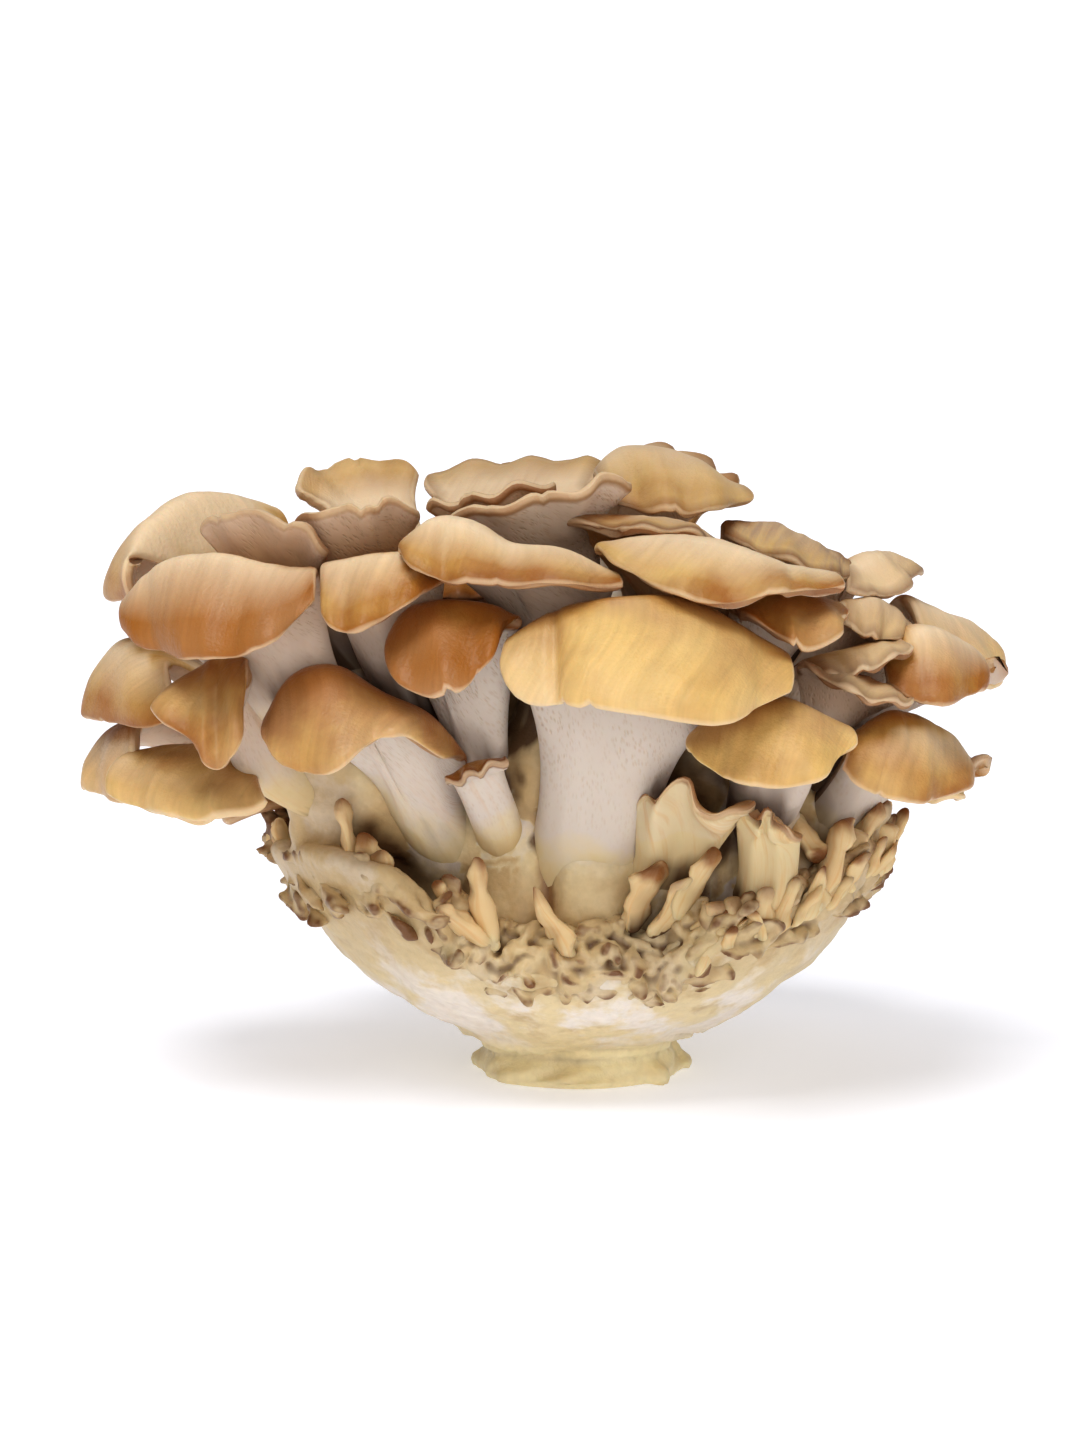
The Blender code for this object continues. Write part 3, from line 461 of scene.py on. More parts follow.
def curve_through(points, at):
    """Points of a smooth curve through these, at shares of its points from 0 to 1."""
    points = np.array(points, float)
    tangents = np.gradient(points, axis=0)
    x = at * (len(points) - 1)
    i = np.clip(np.floor(x).astype(int), 0, len(points) - 2)
    f = (x - i)[:, None]
    return hermite(points[i], points[i + 1], tangents[i], tangents[i + 1], f)


# Points along each side of the lattice of random values, and where in it the scene's origin lies.
LATTICE = 64
LATTICE_ORIGIN = 17.3


def lumps(points, size, seed):
    """Smooth random values from -1 to 1 at these points, in lumps of about this size."""
    table = np.random.default_rng(seed).uniform(-1.0, 1.0, (LATTICE, LATTICE, LATTICE))
    place = np.asarray(points, float) / size + LATTICE_ORIGIN
    corner = np.floor(place).astype(int)
    f = place - corner
    f = f * f * (3.0 - 2.0 * f)
    total = np.zeros(place.shape[:-1])
    for step in np.ndindex(2, 2, 2):
        weight = np.prod(np.where(step, f, 1.0 - f), axis=-1)
        i, j, k = np.moveaxis((corner + step) % LATTICE, -1, 0)
        total += weight * table[i, j, k]
    return total


def frond_sheet(frond, across, along):
    """The top surface of a frond, as an array of rows from root to margin.

    across runs from 0 to 1 over the width. along counts, for each point, the four sections that
    the surface passes through: 0 is the root, 1 the neck, 2 the crown and 3 the margin.
    """
    crown = curve_through(frond.crown, across)
    margin = curve_through(frond.margin, across)
    side = crown[-1] - crown[0]
    side = side / np.linalg.norm(side)
    offset = (across - 0.5)[:, None] * frond.stem[0] * side
    neck = np.array(frond.neck) + offset
    root = np.array(frond.root) + ROOT_SPREAD * offset
    rows = np.stack([root, neck, crown, margin])
    steps = np.linalg.norm(np.diff(rows, axis=0), axis=2).mean(axis=1)
    slopes = np.diff(rows, axis=0) / steps[:, None, None]
    tangents = np.empty_like(rows)
    tangents[0] = slopes[0]
    for i in (1, 2):
        share = steps[i - 1] / (steps[i - 1] + steps[i])
        tangents[i] = slopes[i - 1] * (1 - share) + slopes[i] * share
    inward = neck - margin
    inward = inward / np.linalg.norm(inward, axis=1)[:, None]
    tangents[3] = slopes[2] * (1 - frond.tuck) + inward * frond.tuck
    i = np.clip(along.astype(int), 0, 2)
    f = (along - i)[..., None]
    column = np.arange(len(across))
    leaving = tangents[i, column] * steps[i][..., None]
    arriving = tangents[i + 1, column] * steps[i][..., None]
    return hermite(rows[i, column], rows[i + 1, column], leaving, arriving, f)


def sheet_normals(sheet):
    """Unit normals of a sheet, pointing out of its top side."""
    normals = np.cross(np.gradient(sheet, axis=0), np.gradient(sheet, axis=1))
    return normals / np.maximum(np.linalg.norm(normals, axis=2), 1e-9)[..., None]


def thickness(frond, c, along):
    """The flesh under each point of the sheet: a round stalk that thins into the cap."""
    stalk = frond.stem[1] * np.sqrt(1 - (STALK_SIDE * c) ** 2)
    thinning = smooth_between(2.0, 3.1, along)
    cap = frond.rim + (frond.flesh - frond.rim) * (1 - c**4) * (1 - thinning)
    return stalk + (cap - stalk) * smooth_between(0.7, 1.8, along)


# Caps with creases that run to the margin: where across the cap, how deep and how wide in
# millimetres, and how much paler the skin is on its left. On a waxy frond they start low down.
CREASES = {
    "front_hood": [(0.31, 1.6, 1.6, 0.35), (0.9, 0.8, 2.0, 0.0)],
    "right_low_hood": [(0.42, 1.0, 2.5, 0.0)],
    "centre_lip": [(0.3, 1.0, 2.0, 0.0)],
    "left_hood": [(0.2, 0.7, 2.0, 0.0), (0.42, 0.5, 1.5, 0.0)],
    "left_front_cap": [(0.62, 0.8, 3.0, 0.0)],
    "left_back_hood": [(0.35, 0.8, 2.5, 0.0)],
    "right_lip": [(0.45, 0.6, 1.2, 0.2), (0.8, 0.8, 1.5, 0.0)],
    "left_front_lobe": [(0.5, 1.0, 2.5, 0.0)],
    "low_right_folded": [(0.2, 2.2, 2.6, 0.0), (0.45, -2.2, 2.8, 0.0), (0.72, 2.2, 2.6, 0.0)],
    "low_right_stout": [(0.3, 1.6, 2.4, 0.0), (0.72, 1.8, 2.4, 0.0)],
}

# Distances from a border, in millimetres, at which a fine mesh has its first rows.
BORDER_STEPS = (0.0, 0.12, 0.35, 0.7, 1.2, 1.9)

# Half of the flesh left at a sheet's border, in millimetres.
EDGE = 0.05


def spaced(length, cell):
    """Shares of a length, even in the middle and close together towards both ends."""
    border = np.array(BORDER_STEPS)
    inner = np.linspace(BORDER_STEPS[-1], length - BORDER_STEPS[-1], max(3, round(length / cell)))
    return np.concatenate([border, inner[1:-1], length - border[::-1]]) / length


def row_lengths(points):
    """How far each point is along its row."""
    steps = np.linalg.norm(np.diff(points, axis=1), axis=2)
    return np.concatenate([np.zeros((len(points), 1)), np.cumsum(steps, axis=1)], axis=1)


def column_lengths(points):
    """How far each point is along its column."""
    return row_lengths(points.swapaxes(0, 1)).swapaxes(0, 1)


def rounded(distance, radius):
    """Share of the full thickness at this distance from a border of this radius."""
    near = np.clip(1.0 - distance / radius, 0.0, 1.0)
    return np.sqrt(1.0 - near**2)


def finished(bm, name):
    """What was modelled, as a mesh of this name."""
    mesh = bpy.data.meshes.new(name)
    bm.to_mesh(mesh)
    bm.free()
    return mesh


def put_points(mesh, points):
    """Moves a mesh's points to these places, given in millimetres."""
    mesh.vertices.foreach_set("co", (points * MM).ravel())
    mesh.update()


def slab_mesh(name, top, under):
    """A closed slab: one grid takes the top's points, its twin the underside's, with a wall."""
    rows, columns = top.shape[:2]
    bm = bmesh.new()
    bmesh.ops.create_grid(bm, x_segments=columns - 1, y_segments=rows - 1, size=1.0)
    bmesh.ops.duplicate(bm, geom=bm.verts[:] + bm.edges[:] + bm.faces[:])
    bmesh.ops.translate(bm, verts=bm.verts[rows * columns :], vec=(0, 0, 0.5))
    bmesh.ops.bridge_loops(bm, edges=[edge for edge in bm.edges if edge.is_boundary])
    bmesh.ops.recalc_face_normals(bm, faces=bm.faces[:])
    mesh = finished(bm, name)
    put_points(mesh, in_box(np.concatenate([top.reshape(-1, 3), under.reshape(-1, 3)])))
    mesh.shade_smooth()
    return mesh


# How far inside the solids' box the fine surface starts to bend, so that it stays within it.
BOX_EASE = 1.2


def in_box(points):
    """The points, eased back where they would leave the box of the solids."""
    low, high = (np.array(corner) / MM for corner in CAD_BOX)
    inner_low, inner_high = low + BOX_EASE, high - BOX_EASE
    over = np.maximum(points - inner_high, 0.0)
    below = np.maximum(inner_low - points, 0.0)
    eased = np.clip(points, inner_low, inner_high)
    eased += BOX_EASE * (1.0 - np.exp(-over / BOX_EASE))
    eased -= BOX_EASE * (1.0 - np.exp(-below / BOX_EASE))
    eased[:, 2] = np.where(points[:, 2] < inner_low[2], np.maximum(points[:, 2], 0.0), eased[:, 2])
    return eased


def give_values(mesh, name, *columns):
    """Adds an attribute that holds three or four values for each point of the mesh."""
    kind, field = ("FLOAT_VECTOR", "vector") if len(columns) == 3 else ("FLOAT_COLOR", "color")
    values = [np.broadcast_to(column, len(mesh.vertices)) for column in columns]
    layer = mesh.attributes.new(name, kind, "POINT")
    layer.data.foreach_set(field, np.stack(values, axis=1).astype(np.float32).ravel())


# How far a point looks for solids round it, and how far off its surface it starts, in millimetres,
# with the rays that it sends out and their tilts from the normal in turn.
OUTLOOK = 28.0
LIFT = 1.3
RAYS = 6
RAY_TILTS = (30, 58)


def enclosure(points, normals):
    """How much of its outlook each point loses to the solids round it, from 0 to 1."""
    side = np.cross(normals, (0.31, 0.89, 0.33))
    side = side / np.maximum(np.linalg.norm(side, axis=1), 1e-6)[:, None]
    other = np.cross(normals, side)
    starts = (points + LIFT * normals).tolist()
    lost = np.zeros(len(points))
    for turn in range(RAYS):
        angle = math.radians(360 / RAYS * turn + 17)
        tilt = math.radians(RAY_TILTS[turn % 2])
        way = math.sin(tilt) * (math.cos(angle) * side + math.sin(angle) * other)
        way = (way + math.cos(tilt) * normals).tolist()
        for i, start in enumerate(starts):
            ray = Vector(way[i])
            spot, facing, _, distance = SOLIDS.ray_cast(start, ray, OUTLOOK)
            if spot and facing.dot(ray) > 0:
                spot, facing, _, distance = SOLIDS.ray_cast(spot + 0.05 * ray, ray, OUTLOOK)
            if spot and facing.dot(ray) < 0:
                lost[i] += 1.0 - 0.5 * distance / OUTLOOK
    return lost / RAYS


def sheet_enclosure(sheet, normals):
    """Enclosure of a sheet's points, found at every fourth row and column and filled in."""
    rows, columns = sheet.shape[:2]
    at_rows, at_columns = (np.append(np.arange(0, n - 1, 4), n - 1) for n in (rows, columns))
    chosen = np.ix_(at_rows, at_columns)
    lost = enclosure(sheet[chosen].reshape(-1, 3), normals[chosen].reshape(-1, 3))
    lost = lost.reshape(len(at_rows), len(at_columns))
    wide = np.array([np.interp(np.arange(columns), at_columns, row) for row in lost])
    return np.array([np.interp(np.arange(rows), at_rows, column) for column in wide.T]).T


def give_map(mesh, across, down):
    """Adds the UV map that patterns follow, in metres along the surface."""
    corners = np.empty(len(mesh.loops), dtype=np.int32)
    mesh.loops.foreach_get("vertex_index", corners)
    places = np.stack([across, down], axis=1)[corners] * MM
    layer = mesh.uv_layers.new(name="UVMap")
    layer.data.foreach_set("uv", places.astype(np.float32).ravel())


def paired(top, under=None):
    """A slab's values in one row: those of its top, then its underside's, alike if not given."""
    return np.concatenate([top.ravel(), (top if under is None else under).ravel()])


def new_piece(name, mesh, material, nodes):
    """Puts a finished mesh in the scene, on the one body, in place of these solids."""
    mesh.materials.append(material)
    piece = bpy.data.objects.new(name, mesh)
    bpy.context.scene.collection.objects.link(piece)
    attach(piece, "root")
    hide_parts(*nodes)
    return piece


# Columns of the coarse sheet on which a frond is measured, and its rows for each section.
COARSE_COLUMNS = 24
COARSE_ROWS = 10

# How far past the last section a lobe of the margin may reach.
FURTHEST = 3.12


def fine_rows(frond, cell):
    """Where a fine frond's columns lie across it and its rows from root to margin, with its width
    and the length from crown to margin, in millimetres. A stalk keeps every third row."""
    sections = np.linspace(0, 3, 3 * COARSE_ROWS + 1)
    columns = np.linspace(0, 1, COARSE_COLUMNS)
    coarse = frond_sheet(frond, columns, sections[:, None].repeat(COARSE_COLUMNS, 1))
    width = row_lengths(coarse)[:, -1].max()
    reach = column_lengths(coarse).mean(axis=1)
    length = reach[-1]
    even = np.interp(spaced(length, cell) * length, reach, sections)
    keep = (even > 1.0) | (np.arange(len(even)) % 3 == 0)
    return spaced(width, cell), even[keep], width, length - reach[2 * COARSE_ROWS]


def margin_lobes(across, width, seed):
    """How far the margin stands out: slow lobes, nicks, rounded corners and two short splits."""
    draw = np.random.default_rng(seed)
    place = np.stack([across * width, np.zeros_like(across), np.zeros_like(across)], axis=1)
    lobes = 1.3 * lumps(place, 13.0, seed) + 0.6 * lumps(place, 4.5, seed + 1)
    lobes += 0.28 * lumps(place, 1.7, seed + 2) - 3.0 * np.abs(2 * across - 1) ** 8
    for _ in range(2):
        at = draw.uniform(0.15, 0.85)
        lobes -= draw.uniform(0.5, 1.6) * np.exp(-(((across - at) * width / 0.8) ** 2))
    return lobes


def creased(frond, look, across, even, width):
    """How deep the creases are at each point, and how much paler they leave each column."""
    sunk, bleach = np.zeros((len(even), len(across))), np.zeros(len(across))
    start = 0.4 if look.wax > 0.5 else 1.7
    for at, depth, spread, paler in CREASES.get(frond.name, []):
        valley = np.exp(-(((across - at) * width / spread) ** 2))
        sunk += depth * valley * smooth_between(start, 2.4, even)[:, None]
        bleach += paler * smooth_between(at + 0.02, at - 0.02, across)
    return sunk, bleach


def frond_piece(frond, look, cell, material):
    """A fine frond: the solid's own sheet, with lobes, lumps, ridges and a rounded margin."""
    seed = sum(ord(letter) * (i + 1) for i, letter in enumerate(frond.name))
    across, even, width, last_step = fine_rows(frond, cell)
    c = np.abs(2 * across - 1)
    lobes = margin_lobes(across, width, seed) / last_step
    along = even[:, None] + smooth_between(1.9, 3.0, even)[:, None] * lobes
    sheet = frond_sheet(frond, across, np.minimum(along, FURTHEST))

    # How far each point is from the sides and the margin, and how thick the flesh is there.
    s = row_lengths(sheet)
    down = column_lengths(sheet)
    side = np.minimum(s, s[:, -1:] - s)
    rest = down[-1:] - down
    flesh = thickness(frond, c, even[:, None])
    share = rounded(side, 0.55 * flesh) * rounded(rest, 0.55 * flesh)
    half = np.maximum(0.5 * flesh * share, EDGE)

    # Lumps and waves that the whole frond follows, then ridges on the skin alone.
    cap = smooth_between(1.0, 2.0, even)[:, None]
    normals = sheet_normals(sheet)
    height, count, phase = frond.wave
    wave = height * np.sin(2 * math.pi * (count * across + phase))
    swing = wave * smooth_between(1.8, 3.0, even)[:, None]
    swing += (0.35 + 0.65 * cap) * 0.9 * lumps(sheet, 15.0, seed + 3)
    swing += 0.3 * lumps(sheet, 6.0, seed + 4)
    frill = smooth_between(9.0, 0.0, rest) * (0.2 + look.wrinkle)
    swing += frill * 0.8 * lumps(np.stack([s, rest * 0.3, 0 * s], axis=2), 5.5, seed + 5)
    sunk, bleach = creased(frond, look, across, even, width)
    swing -= sunk
    droop = (1 - cap) * STALK_DROOP * frond.stem[1] * c**2
    middle = sheet + normals * (swing - 0.5 * flesh - droop)[..., None]
    skin_map = np.stack([s, down, 0 * s], axis=2)
    ridges = lumps(skin_map / (1.0, 7.0, 1.0), 2.4, seed + 6)
    ridges = ridges + 0.5 * lumps(skin_map / (1.0, 5.0, 1.0), 1.2, seed + 7)
    relief = cap * (0.04 + 0.3 * look.wrinkle) * ridges * share
    top = middle + normals * (half + relief)[..., None]
    grooves = 0.12 * lumps(skin_map / (1.0, 6.0, 1.0), 1.6, seed + 8) * share
    under = middle - normals * (half + grooves)[..., None]

    name = "fine_frond_" + frond.name
    mesh = slab_mesh(name, top, under)
    border = np.minimum(side + 20 * (1 - cap), rest) * (1 + 2 * look.wax)
    skin_top = smooth_between(0.95, 1.5, even)[:, None] + 0 * s
    wrap = 2.4 - 1.6 * max(look.wax, look.tan)
    skin_under = skin_top * smooth_between(wrap, 0.4 * wrap, border)
    sections = np.broadcast_to(even[:, None] / 3, s.shape)
    give_values(mesh, "place", paired(skin_top, skin_under), paired(sections), paired(border * MM))
    tone = np.clip(look.tone + 0.22 * lumps(sheet, 17.0, seed + 9), 0, 1.2)
    bloom = np.clip(look.bloom * (1 + 0.5 * lumps(sheet, 9.0, seed + 10)), 0, 1)
    pale = np.clip(look.pale + bleach + 0.2 * lumps(sheet, 12.0, seed + 11), 0, 1)
    give_values(mesh, "look", paired(tone), paired(bloom), paired(pale), look.edge)
    # How enclosed each point is, which the material paints as shade and, on an open crown, as a
    # highlight.
    enclosed = paired(sheet_enclosure(top, normals), sheet_enclosure(under, -normals))
    give_values(mesh, "flesh", look.tan, look.wax, enclosed)
    give_map(mesh, paired(s), paired(down))
    return new_piece(name, mesh, material, ["frond_" + frond.name])


def bowl_radius(z):
    """The bowl's outer radius at this height, or at these."""
    return np.sqrt(np.maximum(BOWL_RADIUS**2 - (z - BOWL_CENTRE_Z) ** 2, 0.0))


# Height of the bowl's rim at these angles round the base, in degrees from the right by the back.
RIM_ANGLES = (0, 30, 60, 90, 120, 150, 180, 205, 223, 232, 240, 249, 270, 290, 301, 316, 335, 360)
RIM_HEIGHTS = (44, 41, 44, 37, 42, 45, 45, 46, 50, 46, 36, 28, 26, 27, 34, 40, 44, 44)


def rim_height(degrees):
    """Height of the rim at this angle, with two rows of crinkles in it."""
    coarse = 1.1 * math.sin(math.radians(11 * degrees))
    fine = 0.7 * math.sin(math.radians(17 * degrees + 60))
    return float(np.interp(degrees % 360, RIM_ANGLES, RIM_HEIGHTS)) + coarse + fine


# The trunk: height, radius, and how far it swells towards the front, where the stalks join it.
TRUNK = [
    (48.0, 32.0, 6.5),
    (58.0, 27.0, 4.5),
    (70.0, 23.0, 2.5),
    (80.0, 17.0, 1.0),
    (TRUNK_TOP_Z - 1, 8.0, 0.0),
]
TRUNK_FRONT = math.radians(258)


def base_profile(angle):
    """Radius and height of each ring of the base at this angle, from the foot's middle up."""
    rim = rim_height(math.degrees(angle))
    lip = 1.2 * math.sin(3 * angle + 0.6) + 0.6 * math.sin(7 * angle)
    swell = max(0.0, math.cos(angle - TRUNK_FRONT))
    rings = [
        (0.0, 0.0),
        (0.5 * FOOT_RADIUS, 0.0),
        (FOOT_RADIUS - 1.5, 0.0),
        (FOOT_RADIUS + 1.0 + lip, 1.4),
        (FOOT_RADIUS - 0.8 + 0.4 * lip, 3.4),
        (FOOT_RADIUS - 0.8, 6.0),
        (FOOT_RADIUS + 0.4, FOOT_HEIGHT - 0.4),
        (bowl_radius(FOOT_HEIGHT + 0.5) - 0.3, FOOT_HEIGHT + 0.4),
    ]
    for share in (0.15, 0.38, 0.6, 0.8, 1.0):
        z = FOOT_HEIGHT + 1 + share * (rim - FOOT_HEIGHT - 1)
        rings.append((bowl_radius(z), z))
    edge = bowl_radius(rim)
    groove = rim - np.interp(rim, (28, 40), (2.5, 10.0))
    foot_of_trunk = min(34.0 + 9.0 * swell, edge - 8.5)
    rings += [
        (edge - 2.2, rim + 1.4),
        (edge - 5.0, rim - 0.2),
        (0.5 * (edge - 5.0 + foot_of_trunk), groove),
        (foot_of_trunk, groove + 3.5),
    ]
    rings += [(radius + bulge * swell, z) for z, radius, bulge in TRUNK]
    rings.append((0.0, TRUNK_TOP_Z))
    return rings


# The ball of faces that the base's body starts from.
BASE_SIDES = 200
BASE_RINGS = 120


def base_body():
    """The foot, bowl and trunk: the rings of a ball moved out to a smooth profile."""
    bm = bmesh.new()
    bmesh.ops.create_uvsphere(bm, u_segments=BASE_SIDES, v_segments=BASE_RINGS, radius=1.0)
    share = np.linspace(0, 1, BASE_RINGS + 1)
    profiles = {}
    for vert in bm.verts:
        angle = math.atan2(vert.co.y, vert.co.x)
        ring = round(math.acos(max(-1.0, min(1.0, -vert.co.z))) / math.pi * BASE_RINGS)
        turn = round(angle / (2 * math.pi) * BASE_SIDES)
        if turn not in profiles:
            profiles[turn] = curve_through(base_profile(angle), share)
        radius, z = profiles[turn][ring]
        vert.co = Vector((radius * math.cos(angle), radius * math.sin(angle), z)) * MM
    bmesh.ops.recalc_face_normals(bm, faces=bm.faces[:])
    return finished(bm, "base_body")


# How much the base's flesh swells round a stalk, in millimetres, at these sections of the stalk.
SWELL_AT = (-0.4, 0.0, 0.3, 0.6, 1.0)
SWELL = (0.5, 2.5, 3.2, 1.6, -2.0)


# From this section of the stalk down, its foot turns by this share towards straight down, and
# drops this many millimetres for each section. It stays this far inside the bowl's wall.
BUTTRESS = (0.6, 0.75, 15.0)
FOOT_CLEARANCE = 13.0
FOOT_COLUMNS = 13
FOOT_ROWS = 17


def stalk_foot(frond):
    """The lower stalk again, swollen at its root, where the base grows up and round it: its mesh,
    its points, and how far up the frond each is."""
    across = np.linspace(0, 1, FOOT_COLUMNS)
    along = np.linspace(SWELL_AT[0], SWELL_AT[-1], FOOT_ROWS)
    sections = np.repeat(along[:, None], FOOT_COLUMNS, 1)
    swell = np.interp(along, SWELL_AT, SWELL)[:, None]
    centre = frond_sheet(frond, across, sections)
    axis = centre.mean(axis=1, keepdims=True)
    sheet = axis + (centre - axis) * (1 + 2 * swell / frond.stem[0])[..., None]
    c = np.abs(2 * across - 1)[None, :]
    normals = sheet_normals(centre)
    flesh = thickness(frond, c, along[:, None])
    middle = sheet - normals * (0.5 * flesh + STALK_DROOP * frond.stem[1] * c**2)[..., None]
    half = (0.5 * flesh + swell) * np.sqrt(1 - (0.97 * c) ** 2)
    half = np.maximum(half, 0.2)[..., None]

    # The foot bends down into a root on the trunk.
    start, share, drop = BUTTRESS
    below = np.maximum(start - along, 0.0)[:, None, None]
    held = axis[np.argmin(np.abs(along - start))]
    bent = axis + (held - drop * below * (0, 0, 1) - axis) * share * smooth_between(0.0, 0.3, below)
    reach = np.hypot(bent[..., 0], bent[..., 1])
    limit = bowl_radius(bent[..., 2]) - FOOT_CLEARANCE
    bent[..., :2] *= np.minimum(1.0, limit / reach)[..., None]
    middle = middle + bent - axis
    top, under = middle + normals * half, middle - normals * half
    spots = np.concatenate([top.reshape(-1, 3), under.reshape(-1, 3)])
    return slab_mesh("stalk_foot", top, under), spots, paired(sections / 3)


def joined(meshes, name):
    """One mesh with the faces of all of these."""
    bm = bmesh.new()
    for mesh in meshes:
        bm.from_mesh(mesh)
        bpy.data.meshes.remove(mesh)
    return finished(bm, name)


def remeshed(mesh, cell):
    """The outer skin of overlapping closed shapes, in even faces of this size."""
    obj = bpy.data.objects.new("remeshed", mesh)
    bpy.context.scene.collection.objects.link(obj)
    skin = obj.modifiers.new("skin", "REMESH")
    skin.mode = "VOXEL"
    skin.voxel_size = cell
    graph = bpy.context.evaluated_depsgraph_get()
    made = bpy.data.meshes.new_from_object(obj.evaluated_get(graph))
    bpy.data.objects.remove(obj)
    bpy.data.meshes.remove(mesh)
    return made


def points_of(mesh):
    """The mesh's points and normals, as arrays."""
    count = len(mesh.vertices)
    points = np.empty(count * 3)
    mesh.vertices.foreach_get("co", points)
    normals = np.empty(count * 3)
    mesh.vertices.foreach_get("normal", normals)
    return points.reshape(-1, 3), normals.reshape(-1, 3)


def smoothed(points, mesh, weight, turns):
    """The points moved towards the middle of their neighbours, by this weight, this many times."""
    edges = np.empty(len(mesh.edges) * 2, dtype=np.int64)
    mesh.edges.foreach_get("vertices", edges)
    start, end = edges.reshape(-1, 2).T
    count = np.bincount(edges, minlength=len(points))[:, None]
    for _ in range(turns):
        total = np.zeros_like(points)
        for axis in range(points.shape[1]):
            total[:, axis] = np.bincount(start, points[end, axis], len(points))
            total[:, axis] += np.bincount(end, points[start, axis], len(points))
        points = points + (total / count - points) * weight
    return points


def stalk_shares(points, feet):
    """How far up a stalk each point is, from the nearest point of the stalks' feet."""
    marked = np.concatenate([spots for _, spots, _ in feet])
    marks = np.concatenate([values for _, _, values in feet])
    tree = KDTree(len(marked))
    for i, spot in enumerate(marked):
        tree.insert(spot, i)
    tree.balance()
    shares = np.zeros(len(points))
    for i, point in enumerate(points):
        _, nearest, distance = tree.find(point)
        shares[i] = marks[nearest] - 0.03 * max(0.0, distance - 1.5)
    return np.clip(shares, 0.0, 1.0)


# The deepest groove between two roots, as the front view shows it, and a flap of the foot's skirt:
# the angle and width in degrees, and the depth or height in millimetres.
GROOVE = (259.5, 3.5, 3.0)
FLAP = (318, 7.0, 2.0)

# Heights of the crease round the foot, and of the fringe and the cut where the bowl starts.
CREASE_Z = 5.2
CUT_Z = 7.2
FRINGE_Z = 9.4


def bell(x, middle, spread):
    """1 at the middle, falling to 0 on both sides."""
    return np.exp(-(((x - middle) / spread) ** 2))


def base_swing(points, degrees, reach, inside):
    """How far the base's skin stands out of its smooth form at each point."""
    height = points[:, 2]
    swing = 0.5 * lumps(points, 9.0, 41) + 0.2 * lumps(points, 4.0, 42)

    # Slow folds that run down the trunk, and one deep groove.
    flow = np.stack([np.radians(degrees) * reach, height / 4.5, 0 * reach], axis=1)
    trunk = inside * smooth_between(66.0, 50.0, height)
    swing += trunk * (0.8 * lumps(flow, 12.0, 39) + 0.4 * lumps(flow, 5.0, 40))
    at, width, depth = GROOVE
    swing -= depth * trunk * bell(degrees, at, width) * smooth_between(28.0, 36.0, height)

    # Folds and lumps in the wall of the bowl, which grew freely.
    outer = (1 - inside) * smooth_between(6.0, 11.0, height)
    around = np.stack([np.radians(degrees) * reach * 0.5, height + reach * 0.3, 0 * reach], axis=1)
    folds = lumps(around / (1.0, 2.6, 1.0), 3.0, 43)
    swing += outer * (0.15 * folds + 0.5 * lumps(points, 7.0, 44) + 0.2 * lumps(points, 3.0, 45))

    # The foot: lumps, a crease that wanders round it, a ragged fringe above and a skirt below.
    foot = smooth_between(9.5, 7.0, height)
    swing += foot * 0.5 * lumps(points / (1.0, 1.0, 1.6), 4.5, 46)
    swing -= foot * 1.1 * bell(height, CREASE_Z + 1.4 * lumps(around, 7.0, 47), 0.7)
    swing += foot * 0.8 * lumps(around / (1.0, 4.0, 1.0), 3.0, 48)
    fringe = np.maximum(1.2 + 1.6 * lumps(around, 4.5, 50) + 0.6 * lumps(around, 1.8, 51), 0.0)
    swing += fringe * bell(height, FRINGE_Z, 1.1) * (1 - inside)
    swing -= 0.7 * bell(height, CUT_Z, 0.9) * (1 - inside)
    at, width, rise = FLAP
    skirt = 1.3 * lumps(around, 8.0, 49) + rise * bell(degrees, at, width)
    swing += foot * smooth_between(5.0, 1.5, height) * skirt
    return swing * smooth_between(0.0, 1.2, height)


def stands_out(points, mesh, normals, turns):
    """How far each point stands out of the mesh smoothed this many times."""
    return np.einsum("ij,ij->i", points - smoothed(points, mesh, 0.5, turns), normals)


def base_piece(fronds, cell, material):
    """The foot, bowl and trunk as flesh that runs up into the stalks, crinkled along its rim."""
    feet = [stalk_foot(form) for form, _ in fronds]
    mesh = remeshed(joined([base_body()] + [foot for foot, _, _ in feet], "base_parts"), cell)
    points = points_of(mesh)[0] / MM
    reach = np.hypot(points[:, 0], points[:, 1])
    degrees = np.degrees(np.arctan2(points[:, 1], points[:, 0])) % 360
    rim = np.interp(degrees, RIM_ANGLES, RIM_HEIGHTS)
    inside = smooth_between(4.0, 9.0, bowl_radius(np.minimum(points[:, 2], rim)) - reach)
    points = smoothed(points, mesh, 0.5, 2)
    points = smoothed(points, mesh, 0.5 * inside[:, None], 26)
    put_points(mesh, points)
    _, normals = points_of(mesh)
    points = points + normals * base_swing(points, degrees, reach, inside)[:, None]
    relief = stands_out(points, mesh, normals, 14)
    # Hollows and enclosure, which the material paints as shade.
    hollow = inside * smooth_between(-0.2, -2.2, stands_out(points, mesh, normals, 90))
    shares = stalk_shares(points, feet)
    enclosed = smoothed(enclosure(points, normals)[:, None], mesh, 0.5, 3)[:, 0]
    put_points(mesh, in_box(points))
    mesh.shade_smooth()
    give_values(mesh, "place", inside, shares, relief)
    give_values(mesh, "flesh", 0.0, hollow, enclosed)
    return new_piece("fine_base", mesh, material, ["base"])


# A stretch of the rim where small fronds stopped growing and fused into crinkles: the size of a
# face, from and to which angle, and the path of its swollen core over the rim, as pairs of how
# far in from the wall and how far above the rim.
Crinkles = namedtuple("Crinkles", "cell first last path rows")

# A row of lobes on such a stretch: how many, how far in from the wall and above the rim, how wide
# and long each is, and how far it leans out, up and along the rim. Each but the first is a range.
Lobes = namedtuple("Lobes", "count inset rise width length out up along")

